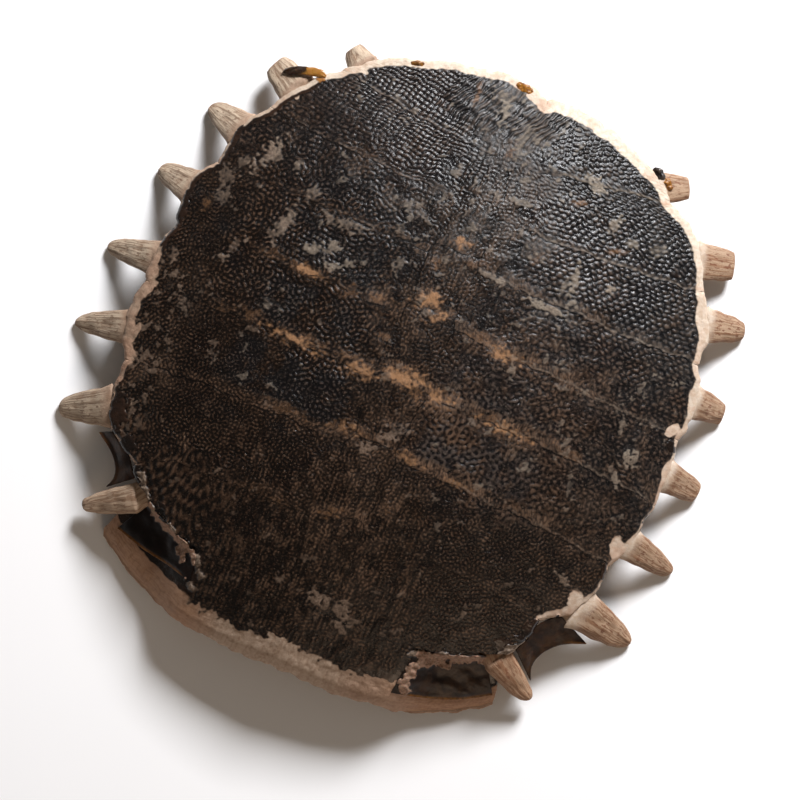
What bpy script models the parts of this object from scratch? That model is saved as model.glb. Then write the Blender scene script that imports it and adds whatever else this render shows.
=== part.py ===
"""The bony carapace of a softshell turtle, lying dome-up on the tips of its ribs.

Axes: +Z is up (the back of the animal), -Y is the neck end, +Y the tail end, +X the animal's left.
All constants are in millimetres and are scaled to metres when a mesh is made.
"""

import math

import bpy
import numpy as np

# ---------------------------------------------------------------- driving dimensions, mm
HALF_WIDTH = 43.7  # plates only, without the rib ends
HALF_LENGTH = 53.0  # scale length of the dome, a little longer than the disc so its ends droop less
RISE = 9.6  # crown above the side rims
RIM_TOP = 6.9  # height of the top surface at the side rims
DOME_POWER = 2.4
KEEL = 0.35  # low swelling along the neural row
PLATE = 2.0  # thickness of the bones
RIM_PLATE = 1.3  # thickness at the outer edge
GAP = 0.3  # between neighbouring pieces
SHIFT = (0.02, 0.13)  # brings the middle of the whole outline to x = y = 0
FLOOR = 0.0  # the rib tips that carry the shell end in small flats here

# Neural row: half widths at the corners where costal sutures arrive and at the cross sutures between neurals
NEURAL_WIDE = 4.3
NEURAL_NARROW = 3.5
NEURAL_STEP = 1.9  # cross sutures lie this far tailward of the costal sutures
LAST_NEURAL = 39.6  # the last neural ends in a point between the eighth costals

# Costal sutures from neck to tail. (y at the neural row, y at the rim, |x| at the rim, power of the bend)
SUTURES = {
    "right": [
        (-39.0, -31.8, 31.5, 2.9),
        (-25.8, -29.0, 33.2, 5.0),
        (-13.2, -15.0, 41.0, 5.0),
        (-1.8, -2.2, 43.3, 2.0),
        (8.9, 8.0, 42.4, 1.0),
        (19.2, 19.7, 40.3, 2.0),
        (28.4, 30.6, 36.0, 2.0),
        (37.2, 40.5, 27.6, 1.6),
    ],
    "left": [
        (-39.0, -33.3, 32.3, 3.0),
        (-24.8, -26.7, 34.7, 4.0),
        (-12.6, -14.9, 41.5, 4.0),
        (-1.3, -2.8, 44.0, 3.0),
        (10.0, 8.3, 43.5, 0.6),
        (19.4, 20.0, 41.7, 3.0),
        (28.4, 31.1, 38.1, 2.0),
        (37.2, 41.8, 28.0, 1.3),
    ],
}
TAIL_NOTCH = (3.4, 48.7)  # where the last pair's midline suture meets the tail rim

# How far the rim swells outward between the two sutures of each costal
RIM_SWELL = {
    "right": [0.9, 3.4, 1.2, 0.9, 1.6, 1.2, 1.1, 3.9],
    "left": [0.4, 2.3, 0.7, 0.8, 1.7, 1.2, 1.8, 3.1],
}

# Rib ends. root (|x|, y), root width, tip (|x|, y), tip width, tip thickness, whether the tip carries the shell
RIBS = {
    "right": [
        ((31.2, -34.4), 4.8, (38.6, -39.0), 1.8, 1.3, False),
        ((40.3, -22.6), 6.4, (48.4, -26.2), 2.2, 1.4, True),
        ((42.6, -10.0), 5.4, (51.5, -12.4), 1.6, 1.3, True),
        ((43.0, 1.6), 5.4, (51.5, 0.8), 1.7, 1.3, True),
        ((42.4, 14.2), 5.6, (48.8, 15.3), 2.0, 1.4, True),
        ((39.0, 25.6), 5.8, (45.3, 27.6), 1.8, 1.4, True),
        ((33.6, 35.0), 6.0, (38.6, 37.4), 3.8, 1.6, False),
        ((25.6, 42.6), 4.6, (28.2, 44.4), 2.6, 1.4, False),
    ],
    "left": [
        ((31.6, -35.0), 5.0, (38.6, -39.2), 1.6, 1.4, False),
        ((40.0, -22.4), 6.6, (49.8, -25.0), 2.2, 1.5, True),
        ((42.8, -9.9), 5.2, (51.5, -11.6), 1.8, 1.3, True),
        ((44.0, 2.2), 5.2, (50.4, 1.8), 3.0, 1.5, True),
        ((43.6, 14.6), 5.2, (49.1, 15.0), 3.0, 1.5, True),
        ((40.6, 26.6), 5.4, (46.9, 28.4), 2.6, 1.5, True),
        ((35.4, 35.4), 5.8, (41.2, 37.2), 4.4, 1.7, False),
        ((25.0, 43.4), 5.0, (29.6, 45.6), 3.2, 1.5, False),
    ],
}
RIB_BODY = 2.1  # thickness of a rib under its plate
RIB_HEAD = (3.0, 2.2)  # |x| where the rib head starts beside the vertebra, and its width
HEAD_Z_DROP = 4.3  # rib heads and vertebra bodies lie this far under the top surface

# Nuchal bone
NUCHAL_FRONT = -50.3
NUCHAL_SWEEP = (34.65, 9.0, 3.1)  # at |x| = first, the front edge has come back by second, with this power
NUCHAL_HALF = 33.6
WING_FROM, WING_TO = 14.5, 24.5  # the bone steps down between these |x|
WING_DROP = 2.7
WING_PLATE = 1.3
RIB_CLEAR = 2.2  # the bone stays this far in front of the first costal where the first rib crosses

# Vertebrae under the neural row
BODY_END, BODY_MID = 2.3, 1.6  # radii of a vertebra's body
ARCH_OUT, ARCH_IN = 2.2, 1.2  # outer and inner |x| of the walls on each side of the nerve canal
TAIL_VERTEBRAE = [(37.6, 42.6), (42.6, 47.0)]

# Dried skin and cartilage
SKIN = 0.5
WEB = 0.4
# Plan outlines as (|x|, y): tail-side edge and neck-side edge of the pockets, inner edge and free edge of the webs
POCKET = {
    "right": (
        [(18.6, -38.5), (22.4, -37.3), (26.0, -35.9), (28.2, -35.9)],
        [(18.0, -42.9), (22.0, -42.0), (27.0, -41.3), (32.0, -40.0)],
    ),
    "left": (
        [(19.0, -39.1), (22.6, -37.9), (26.0, -36.9), (28.9, -37.0)],
        [(18.0, -46.3), (23.6, -45.1), (28.6, -43.2), (33.0, -40.6)],
    ),
}
WEB_EDGES = {
    "right": (
        [(33.5, -32.4), (33.8, -30.7), (35.0, -29.1), (36.9, -27.9), (38.8, -26.6)],
        [(36.2, -34.6), (35.6, -33.0), (36.0, -31.2), (37.6, -29.2), (40.6, -27.2)],
    ),
    "left": (
        [(33.9, -32.4), (34.8, -30.0), (35.6, -27.9), (37.0, -26.9), (38.9, -26.4)],
        [(37.6, -36.0), (36.8, -33.8), (37.5, -31.2), (39.8, -28.8), (43.4, -27.2)],
    ),
}

BONE = (0.10, 0.075, 0.055, 1.0)
SKIN_DARK = (0.045, 0.025, 0.018, 1.0)
AMBER = (0.55, 0.30, 0.08, 1.0)

SIGN = {"right": -1.0, "left": 1.0}


# ---------------------------------------------------------------- surfaces
def dome(x, y):
    """Height of the smooth top surface, carried on past the rim for the rib ends."""
    r2 = (x / HALF_WIDTH) ** 2 + (y / HALF_LENGTH) ** 2
    return RIM_TOP + RISE * (1 - r2 ** (DOME_POWER / 2)) + KEEL * math.exp(-((x / 4.0) ** 2))


def smooth(a, b, value):
    t = min(1.0, max(0.0, (value - a) / (b - a)))
    return t * t * (3 - 2 * t)


def plate_depth(x, y):
    r = math.sqrt((x / HALF_WIDTH) ** 2 + (y / 50.0) ** 2)
    return PLATE + (RIM_PLATE - PLATE) * smooth(0.84, 1.0, r)


# ---------------------------------------------------------------- plan curves, each t in 0..1 -> (x, y)
def neural_side(y):
    """Half width of the neural row at y, from the mean of the two sides' sutures."""
    marks = []
    for k in range(8):
        mid = (SUTURES["right"][k][0] + SUTURES["left"][k][0]) / 2
        if k == 0:
            marks.append((mid, 3.8))
        elif k < 7:
            marks += [(mid, NEURAL_WIDE), (mid + NEURAL_STEP, NEURAL_NARROW)]
    marks += [(33.5, 3.1), (37.2, 1.3), (LAST_NEURAL, 0.35)]
    ys, ws = zip(*marks)
    return float(np.interp(y, ys, ws))


def midline(y):
    """The suture between the last pair drifts to the left of the animal."""
    return TAIL_NOTCH[0] * smooth(LAST_NEURAL, TAIL_NOTCH[1], y)


def suture(side, k, t):
    """Front suture of costal k (0..7) from the neural row (t=0) to the rim (t=1); k=8 is the tail end."""
    y0, y1, x1, power = SUTURES[side][k]
    x0 = 1.3 if k == 7 else neural_side(y0)
    return SIGN[side] * (x0 + (x1 - x0) * t), y0 + (y1 - y0) * t**power


def bulged(a, b, swell, t, out, square=0.8):
    """From a to b, swelling to the outside of the shell. A low square fills out the ends."""
    dx, dy = b[0] - a[0], b[1] - a[1]
    length = math.hypot(dx, dy)
    nx, ny = dy / length, -dx / length
    if nx * out[0] + ny * out[1] < 0:
        nx, ny = -nx, -ny
    s = swell * math.sin(math.pi * t) ** square if 0 < t < 1 else 0.0
    return a[0] + dx * t + nx * s, a[1] + dy * t + ny * s


def coons(front, rear, inner, outer, nu, nv):
    """Grid of plan points inside four boundary curves: front/rear run inner to outer, inner/outer front to rear."""
    grid = np.zeros((nu + 1, nv + 1, 2))
    c00, c10 = np.array(front(0)), np.array(front(1))
    c01, c11 = np.array(rear(0)), np.array(rear(1))
    for i in range(nu + 1):
        u = i / nu
        f, r = np.array(front(u)), np.array(rear(u))
        for j in range(nv + 1):
            v = j / nv
            m, e = np.array(inner(v)), np.array(outer(v))
            grid[i, j] = (
                (1 - v) * f + v * r + (1 - u) * m + u * e
                - ((1 - u) * (1 - v) * c00 + u * (1 - v) * c10 + (1 - u) * v * c01 + u * v * c11)
            )
    return grid


def shrink(grid, by):
    """Moves the outline of a plan grid inward, which leaves the gap at the sutures."""
    nu, nv = grid.shape[0] - 1, grid.shape[1] - 1
    ring = (
        [(i, 0) for i in range(nu)] + [(nu, j) for j in range(nv)]
        + [(i, nv) for i in range(nu, 0, -1)] + [(0, j) for j in range(nv, 0, -1)]
    )
    points = np.array([grid[i, j] for i, j in ring])
    area = np.sum(points[:, 0] * np.roll(points[:, 1], -1) - np.roll(points[:, 0], -1) * points[:, 1])
    turn = 1.0 if area > 0 else -1.0
    ahead = np.roll(points, -1, axis=0) - points
    ahead /= np.maximum(np.linalg.norm(ahead, axis=1, keepdims=True), 1e-9)
    normals = np.stack([-ahead[:, 1], ahead[:, 0]], axis=1) * turn
    before = np.roll(normals, 1, axis=0)
    both = normals + before
    both /= np.maximum(np.sum(both * both, axis=1, keepdims=True) / 2.0, 0.35)
    moved = grid.copy()
    for (i, j), point, step in zip(ring, points, both):
        moved[i, j] = point + by * step
    return moved


# ---------------------------------------------------------------- meshes
def material(name, colour, roughness):
    found = bpy.data.materials.get(name)
    if found:
        return found
    made = bpy.data.materials.new(name)
    made.use_nodes = True
    shader = made.node_tree.nodes["Principled BSDF"]
    shader.inputs["Base Color"].default_value = colour
    shader.inputs["Roughness"].default_value = roughness
    made.diffuse_color = colour
    return made


def add(name, points, faces, mat):
    mesh = bpy.data.meshes.new(name)
    mesh.from_pydata([((p[0] + SHIFT[0]) / 1000, (p[1] + SHIFT[1]) / 1000, p[2] / 1000) for p in points], [], faces)
    mesh.update()
    obj = bpy.data.objects.new(name, mesh)
    bpy.context.scene.collection.objects.link(obj)
    obj.data.materials.append(mat)
    return obj


def slab(name, plan, top, bottom, mat):
    """A closed plate over a plan grid. top and bottom give the height at (x, y)."""
    nu, nv = plan.shape[0] - 1, plan.shape[1] - 1
    points, faces = [], []
    for level in (top, bottom):
        for i in range(nu + 1):
            for j in range(nv + 1):
                x, y = plan[i, j]
                points.append((x, y, level(x, y)))
    low = (nu + 1) * (nv + 1)

    def at(i, j, deep=0):
        return deep * low + i * (nv + 1) + j

    for i in range(nu):
        for j in range(nv):
            a, b, c, d = at(i, j), at(i + 1, j), at(i + 1, j + 1), at(i, j + 1)
            faces += [(a, b, c), (a, c, d)]
            faces += [(a + low, c + low, b + low), (a + low, d + low, c + low)]
    ring = (
        [(i, 0) for i in range(nu)] + [(nu, j) for j in range(nv)]
        + [(i, nv) for i in range(nu, 0, -1)] + [(0, j) for j in range(nv, 0, -1)]
    )
    for n, (i, j) in enumerate(ring):
        k, m = ring[(n + 1) % len(ring)]
        a, b = at(i, j), at(k, m)
        faces += [(a, a + low, b + low), (a, b + low, b)]
    p0, p1, p3 = plan[0, 0], plan[1, 0], plan[0, 1]
    if (p1[0] - p0[0]) * (p3[1] - p0[1]) - (p1[1] - p0[1]) * (p3[0] - p0[0]) < 0:
        faces = [f[::-1] for f in faces]
    return add(name, points, faces, mat)


def loft(name, sections, sides, mat):
    """A closed body through sections of (centre, half width vector, half height vector)."""
    points, faces = [], []
    for centre, wide, high in sections:
        for n in range(sides):
            a = 2 * math.pi * (n + 0.5 * (sides == 4)) / sides
            p = np.array(centre) + np.array(wide) * math.cos(a) + np.array(high) * math.sin(a)
            p[2] = max(p[2], FLOOR)
            points.append(tuple(p))
    for s in range(len(sections) - 1):
        for n in range(sides):
            a, b = s * sides + n, s * sides + (n + 1) % sides
            c, d = a + sides, b + sides
            faces += [(a, b, d), (a, d, c)]
    last = (len(sections) - 1) * sides
    for n in range(1, sides - 1):
        faces.append((0, n + 1, n))
        faces.append((last, last + n, last + n + 1))
    c0, c1 = np.array(sections[0][0]), np.array(sections[1][0])
    if np.dot(np.cross(sections[0][1], sections[0][2]), c1 - c0) < 0:
        faces = [f[::-1] for f in faces]
    return add(name, points, faces, mat)


def combine(target, other, operation="UNION"):
    change = target.modifiers.new(operation.lower(), "BOOLEAN")
    change.operation = operation
    change.solver = "EXACT"
    change.object = other
    bpy.context.view_layer.update()
    graph = bpy.context.evaluated_depsgraph_get()
    mesh = bpy.data.meshes.new_from_object(target.evaluated_get(graph))
    target.modifiers.clear()
    old = target.data
    target.data = mesh
    mesh.name = old.name + "_solid"
    bpy.data.meshes.remove(old)
    bpy.data.objects.remove(other)


# ---------------------------------------------------------------- pieces
def costal_plan(side, k, nu, nv):
    s = SIGN[side]
    front = lambda t: suture(side, k, t)
    if k < 7:
        rear = lambda t: suture(side, k + 1, t)
        y0, y1 = SUTURES[side][k][0], SUTURES[side][k + 1][0]
        step = NEURAL_STEP / (y1 - y0)

        def inner(v):
            a, b = front(0), rear(0)
            y = a[1] + (b[1] - a[1]) * v
            if v in (0, 1):
                return a if v == 0 else b
            return s * neural_side(y), y

        end = lambda v: bulged(front(1), rear(1), RIM_SWELL[side][k], v, (s, 0.15 * (k - 3)))
        return coons(front, rear, inner, end, nu, nv)

    # The last pair meets at the midline and carries the tail rim.
    notch = TAIL_NOTCH
    middle = (s * 1.3, SUTURES[side][7][0])

    def inner(v):
        if v == 0:
            return middle
        y = middle[1] + (notch[1] - middle[1]) * v
        return midline(y) + s * 1.3 * max(0.0, (LAST_NEURAL - y) / (LAST_NEURAL - middle[1])), y

    rim = lambda t: bulged(notch, front(1), RIM_SWELL[side][7], t, (s * 0.4, 1.0), 0.55)
    # u runs out along the front suture, and the rear curve is the tail rim
    end = lambda v: front(1) if v == 0 else (
        front(1)[0] + (rim(0.86)[0] - front(1)[0]) * v,
        front(1)[1] + (rim(0.86)[1] - front(1)[1]) * v,
    )
    return coons(front, lambda t: rim(0.86 * t), inner, end, nu, nv)


def costal(side, k):
    s = SIGN[side]
    dark = material("bone", BONE, 0.6)
    plan = shrink(costal_plan(side, k, 8, 4), GAP / 2)
    body = slab(
        f"costal_{side}_{k + 1}", plan, dome, lambda x, y: dome(x, y) - plate_depth(x, y), dark,
    )

    (rx, ry), root_w, (tx, ty), tip_w, tip_t, foot = RIBS[side][k]
    joint = SUTURES[side][k][0] + NEURAL_STEP if k else -37.0
    joint = min(joint, 37.5)
    out = np.array([s * (tx - rx), ty - ry])
    reach = float(np.linalg.norm(out))
    out /= reach
    across = np.array([-out[1], out[0], 0.0])
    top = np.array([0, 0, 1.0])

    def under(x, y, width, thick, sink):
        """A section whose middle lies just inside the underside of the plate."""
        z = dome(x, y) - plate_depth(x, y) + sink
        return (x, y, z), across * width / 2, top * thick / 2

    if k == 7:
        knots = [(5.5, 39.6, 2.2, 1.5, -0.9), (12, 41.2, 2.8, 1.6, 0.25), (19.5, 42.3, 3.4, 1.7, 0.35)]
    elif k == 0:
        knots = [
            (7.5, -35.0, 2.4, 1.6, -0.2), (14, -32.6, 3.6, RIB_BODY, 0.2),
            (27.3, -31.6 if side == "right" else -32.8, 4.0, RIB_BODY, 0.3),
        ]
    else:
        centre = lambda t: (suture(side, k, t)[1] + suture(side, k + 1, t)[1]) / 2
        knots = [
            (7.6, joint + 0.72 * (centre(0.1) - joint), 2.6, 1.6, -0.2),
            (13.0, centre(0.27), 3.8, RIB_BODY, 0.2),
            (rx * 0.62, centre(0.6), 4.4, RIB_BODY, 0.3),
            (rx - 4.5, 0.5 * centre(0.88) + 0.5 * ry, 0.94 * root_w, RIB_BODY, 0.35),
        ]
    head_z = dome(0, joint) - HEAD_Z_DROP
    wide = np.array([0.0, math.copysign(RIB_HEAD[1] / 2, across[1]), 0.0])
    sections = [((s * RIB_HEAD[0], joint + 0.1, head_z), wide, top * 0.75)]
    for x, y, w, t, sink in knots:
        sections.append(under(s * x, y, w, t, sink))
    # the free end
    tip_top = tip_t - 0.3 if foot else dome(tx * 0.985, ty) - 0.35
    root_top = dome(rx, ry) - 0.42
    for f, shape in ((-0.03, 1.0), (0.34, 0.78), (0.72, 0.42), (1.0, 0.0)):
        x, y = s * rx + out[0] * reach * f, ry + out[1] * reach * f
        g = max(f, 0.0)
        w = tip_w + (root_w - tip_w) * shape
        t = tip_t + (RIB_BODY - 0.1 - tip_t) * (1 - g)
        slope = (dome(rx + 0.2, ry) - dome(rx - 0.2, ry)) / 0.4 * reach
        h = (2 * g**3 - 3 * g**2 + 1) * root_top + (g**3 - 2 * g**2 + g) * slope + (3 * g**2 - 2 * g**3) * tip_top
        h += (g**3 - g**2) * slope * 0.9
        if f < 0:
            h = dome(rx, ry) - 0.45
        sections.append(((x, y, h - t / 2), across * w / 2, top * t / 2))
    rib = loft("rib", sections, 8, dark)
    combine(body, rib)
    return body


def neural(k):
    """Neural bone k (0..6), with its vertebra."""
    dark = material("bone", BONE, 0.6)
    mids = [(SUTURES["right"][n][0] + SUTURES["left"][n][0]) / 2 for n in range(8)]
    y0 = mids[0] if k == 0 else mids[k] + NEURAL_STEP
    y1 = mids[k + 1] + NEURAL_STEP if k < 6 else LAST_NEURAL
    nu, nv = 2, 6

    def side_of(s):
        def curve(v):
            # a row of points falls exactly on the corner where the costal suture arrives
            corner = (mids[k + 1] - y0) / (y1 - y0)
            w = v / (4 / 6) * corner if v <= 4 / 6 else corner + (v - 4 / 6) / (2 / 6) * (1 - corner)
            y = y0 + (y1 - y0) * w
            return s * neural_side(y), y
        return curve

    left, right = side_of(1), side_of(-1)
    front = lambda t: (right(0)[0] + (left(0)[0] - right(0)[0]) * t, y0)
    rear = lambda t: (right(1)[0] + (left(1)[0] - right(1)[0]) * t, y1)
    plan = shrink(coons(front, rear, right, left, nu, nv), GAP / 2)
    body = slab(f"neural_{k + 1}", plan, dome, lambda x, y: dome(x, y) - PLATE, dark)
    start = y0 - 1.6 if k == 0 else y0
    vertebra_under(body, start, min(y1, 37.6), dark)
    return body


def vertebra_under(body, y0, y1, mat):
    """The walls of the nerve canal and the vertebra's waisted body, joined to what is above."""
    a, b = y0 + GAP / 2, y1 - GAP / 2
    length = b - a
    arch0, arch1 = a + 0.26 * length, b - 0.26 * length
    mid = (a + b) / 2
    for s in (-1, 1):
        wall = []
        for y, grow in ((arch0, 0.85), (mid, 1.0), (arch1, 0.85)):
            high = dome(0, y) - PLATE + 0.35
            low = dome(0, y) - HEAD_Z_DROP - 0.2
            wall.append(((s * (ARCH_OUT + ARCH_IN) / 2, y, (high + low) / 2), (s * 0.7 * grow, 0, 0), (0, 0, (high - low) / 1.414)))
        combine(body, loft("wall", wall, 4, mat))
    sections = []
    for f, r in ((0.0, BODY_END), (0.12, BODY_END), (0.5, BODY_MID), (0.88, BODY_END), (1.0, BODY_END * 0.96)):
        y = a + length * f
        sections.append(((0, y, dome(0, y) - HEAD_Z_DROP - 0.45), (r, 0, 0), (0, 0, r * 0.82)))
    combine(body, loft("centrum", sections, 8, mat))


def tail_vertebra(n):
    """A dorsal vertebra under the last pair of costals, a gap below their underside."""
    dark = material("bone", BONE, 0.6)
    y0, y1 = TAIL_VERTEBRAE[n]
    a, b = y0 + GAP / 2, y1 - GAP / 2
    scale = 0.84 - 0.14 * n
    sections = []
    for f, r in ((0.0, BODY_END), (0.14, BODY_END), (0.5, BODY_MID), (0.86, BODY_END), (1.0, BODY_END * 0.94)):
        y = a + (b - a) * f
        sections.append(((0, y, dome(0, y) - HEAD_Z_DROP - 0.3), (r * scale, 0, 0), (0, 0, r * 0.8 * scale)))
    body = loft(f"vertebra_{n + 8}", sections, 8, dark)
    mid, quarter = (a + b) / 2, (b - a) * 0.22
    for s in (-1, 1):
        wall = []
        for y in (mid - quarter, mid, mid + quarter):
            high = dome(0, y) - PLATE - GAP - 0.05
            low = dome(0, y) - HEAD_Z_DROP - 0.2
            wall.append(((s * 1.35 * scale, y, (high + low) / 2), (s * 0.6, 0, 0), (0, 0, (high - low) / 1.414)))
        combine(body, loft("wall", wall, 4, dark))
    return body


def nuchal_drop(x):
    return WING_DROP * smooth(WING_FROM, WING_TO, abs(x))


def nuchal_front(x):
    at, back, power = NUCHAL_SWEEP
    return NUCHAL_FRONT + back * (abs(x) / at) ** power + 0.35 * math.exp(-((x / 6.0) ** 2))


def nuchal_back(x):
    side = "right" if x < 0 else "left"
    y0, y1, x1, power = SUTURES[side][0]
    x0 = 3.8
    t = max(0.0, (abs(x) - x0) / (x1 - x0))
    return y0 + (y1 - y0) * t**power


def nuchal_top(x, y):
    """The front margin is rolled down."""
    return dome(x, y) - nuchal_drop(x) - 0.8 * smooth(2.2, 0.0, y - nuchal_front(x)) ** 2


def nuchal():
    dark = material("bone", BONE, 0.6)
    half = NUCHAL_HALF

    def back(t):
        x = half * (2 * t - 1) * 0.925
        return x, nuchal_back(x) - RIB_CLEAR * smooth(21.5, 27.5, abs(x))

    def front(t):
        x = half * (2 * t - 1)
        return x, nuchal_front(x)

    def end(s):
        t = 1.0 if s > 0 else 0.0
        a, b = front(t), back(t)
        return lambda v: (a[0] + (b[0] - a[0]) * v + s * 0.9 * math.sin(math.pi * v), a[1] + (b[1] - a[1]) * v)

    plan = shrink(coons(front, back, end(-1), end(1), 22, 4), GAP / 2)

    def depth(x, y):
        d = WING_PLATE + (2.6 - WING_PLATE) * (1 - smooth(WING_FROM, WING_TO, abs(x)))
        # the front margin is a thick rounded roll
        return d - 0.55 * smooth(1.6, 0.0, y - nuchal_front(x))

    return slab("nuchal", plan, nuchal_top, lambda x, y: dome(x, y) - nuchal_drop(x) - depth(x, y), dark)


def through(points, s):
    """A smooth curve through plan points given as (|x|, y)."""
    flat = [[s * p[0] for p in points], [p[1] for p in points]]

    def curve(t):
        f = t * (len(points) - 1)
        n = min(int(f), len(points) - 2)
        f -= n
        out = []
        for v in flat:
            p0, p1, p2, p3 = (v[min(max(n + i, 0), len(v) - 1)] for i in (-1, 0, 1, 2))
            out.append(0.5 * (2 * p1 + (p2 - p0) * f + (2 * p0 - 5 * p1 + 4 * p2 - p3) * f * f + (3 * p1 - p0 - 3 * p2 + p3) * f**3))
        return tuple(out)

    return curve


def skin_plan(points_a, points_b, s, nu, nv):
    a, b = through(points_a, s), through(points_b, s)
    mix = lambda p, q: (lambda v: (p[0] + (q[0] - p[0]) * v, p[1] + (q[1] - p[1]) * v))
    return coons(a, b, mix(a(0), b(0)), mix(a(1), b(1)), nu, nv)


def skin_pocket(side):
    """Dried skin that fills the step between nuchal bone, first costal and first rib."""
    low = lambda x, y: nuchal_top(x, y) + GAP
    return slab(
        f"skin_{side}_pocket", skin_plan(*POCKET[side], SIGN[side], 8, 3), lambda x, y: low(x, y) + SKIN, low,
        material("skin", SKIN_DARK, 0.3),
    )


def skin_web(side):
    """Dried skin stretched between the first and second rib ends, with a concave free edge."""
    top = lambda x, y: dome(x, y) - 1.0 - 0.2 * math.sin((y + 38) * 0.9)
    return slab(
        f"skin_{side}_web", skin_plan(*WEB_EDGES[side], SIGN[side], 8, 3), top, lambda x, y: top(x, y) - WEB,
        material("skin", SKIN_DARK, 0.3),
    )


def cartilage():
    """A crust of dried cartilage lying along the tail side of the seventh right rib end."""
    mat = material("cartilage", AMBER, 0.35)
    start, end = np.array([-30.6, 38.9]), np.array([-37.3, 37.1])
    sections = []
    for f, w, t in ((0.0, 0.5, 0.35), (0.2, 1.2, 0.75), (0.5, 1.6, 0.95), (0.8, 1.5, 0.9), (1.0, 0.8, 0.5)):
        x, y = start + (end - start) * f
        sections.append(((x, y + 0.5 * math.sin(math.pi * f), dome(x, y) + 0.25 + t / 2), (0.26 * w, 0.96 * w, 0), (0, 0, t / 2)))
    return loft("cartilage_right_7", sections, 8, mat)


def main():
    for obj in list(bpy.data.objects):
        bpy.data.objects.remove(obj)
    nuchal()
    for k in range(7):
        neural(k)
    for n in range(2):
        tail_vertebra(n)
    for side in ("right", "left"):
        for k in range(8):
            costal(side, k)
        skin_pocket(side)
        skin_web(side)
    cartilage()


main()
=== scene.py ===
"""A dried softshell turtle carapace, sculptured side up, on a plain pale floor.

Lengths are in millimetres until a mesh is made. +Z is up, -Y the neck end, +X the animal's left.
"""

import math

import bpy
import numpy as np
from mathutils import Matrix, Vector


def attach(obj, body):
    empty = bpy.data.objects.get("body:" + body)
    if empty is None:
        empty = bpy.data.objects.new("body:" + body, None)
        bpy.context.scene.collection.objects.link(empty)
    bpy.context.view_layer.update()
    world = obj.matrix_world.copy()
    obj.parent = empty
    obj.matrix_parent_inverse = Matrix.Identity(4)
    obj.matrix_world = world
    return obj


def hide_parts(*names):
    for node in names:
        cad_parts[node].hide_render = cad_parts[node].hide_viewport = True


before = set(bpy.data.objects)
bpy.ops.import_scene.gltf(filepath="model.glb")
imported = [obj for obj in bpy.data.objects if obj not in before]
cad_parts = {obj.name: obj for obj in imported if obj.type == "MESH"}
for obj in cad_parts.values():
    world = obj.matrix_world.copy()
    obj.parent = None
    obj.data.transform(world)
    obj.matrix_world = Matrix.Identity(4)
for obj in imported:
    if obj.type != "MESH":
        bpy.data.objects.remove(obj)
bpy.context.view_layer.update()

# ---------------------------------------------------------------- the bones' plan and dome, as in the CAD
HALF_WIDTH, HALF_LENGTH, RISE, RIM_TOP, DOME_POWER, KEEL = 43.7, 53.0, 9.6, 6.9, 2.4, 0.35
PLATE, RIM_PLATE, CAD_GAP = 2.0, 1.3, 0.3
SHIFT = (0.02, 0.13)
NEURAL_WIDE, NEURAL_NARROW, NEURAL_STEP, LAST_NEURAL = 4.3, 3.5, 1.9, 39.6
FIRST_NEURAL, TAIL_NEURAL = 3.8, 1.3  # half widths at the two ends of the neural row
VERTEBRA_END = 37.6
LAST = 7  # index of the last costal
# Sutures in front of the costals: y at the middle, y and |x| at the rim, power of the curve
SUTURES = {
    "right": [
        (-39.0, -31.8, 31.5, 2.9), (-25.8, -29.0, 33.2, 5.0),
        (-13.2, -15.0, 41.0, 5.0), (-1.8, -2.2, 43.3, 2.0),
        (8.9, 8.0, 42.4, 1.0), (19.2, 19.7, 40.3, 2.0),
        (28.4, 30.6, 36.0, 2.0), (37.2, 40.5, 27.6, 1.6),
    ],
    "left": [
        (-39.0, -33.3, 32.3, 3.0), (-24.8, -26.7, 34.7, 4.0),
        (-12.6, -14.9, 41.5, 4.0), (-1.3, -2.8, 44.0, 3.0),
        (10.0, 8.3, 43.5, 0.6), (19.4, 20.0, 41.7, 3.0),
        (28.4, 31.1, 38.1, 2.0), (37.2, 41.8, 28.0, 1.3),
    ],
}
TAIL_NOTCH = (3.4, 48.7)
# How far the rim between two sutures bulges
RIM_SWELL = {
    "right": [0.9, 3.4, 1.2, 0.9, 1.6, 1.2, 1.1, 3.9],
    "left": [0.4, 2.3, 0.7, 0.8, 1.7, 1.2, 1.8, 3.1],
}
# Root (|x|, y), root width, tip (|x|, y), tip width, tip thickness, whether the tip carries the shell
RIBS = {
    "right": [
        ((31.2, -34.4), 4.8, (38.6, -39.0), 1.8, 1.3, False),
        ((40.3, -22.6), 6.4, (48.4, -26.2), 2.2, 1.4, True),
        ((42.6, -10.0), 5.4, (51.5, -12.4), 1.6, 1.3, True),
        ((43.0, 1.6), 5.4, (51.5, 0.8), 1.7, 1.3, True),
        ((42.4, 14.2), 5.6, (48.8, 15.3), 2.0, 1.4, True),
        ((39.0, 25.6), 5.8, (45.3, 27.6), 1.8, 1.4, True),
        ((33.6, 35.0), 6.0, (38.6, 37.4), 3.8, 1.6, False),
        ((25.6, 42.6), 4.6, (28.2, 44.4), 2.6, 1.4, False),
    ],
    "left": [
        ((31.6, -35.0), 5.0, (38.6, -39.2), 1.6, 1.4, False),
        ((40.0, -22.4), 6.6, (49.8, -25.0), 2.2, 1.5, True),
        ((42.8, -9.9), 5.2, (51.5, -11.6), 1.8, 1.3, True),
        ((44.0, 2.2), 5.2, (50.4, 1.8), 3.0, 1.5, True),
        ((43.6, 14.6), 5.2, (49.1, 15.0), 3.0, 1.5, True),
        ((40.6, 26.6), 5.4, (46.9, 28.4), 2.6, 1.5, True),
        ((35.4, 35.4), 5.8, (41.2, 37.2), 4.4, 1.7, False),
        ((25.0, 43.4), 5.0, (29.6, 45.6), 3.2, 1.5, False),
    ],
}
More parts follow.
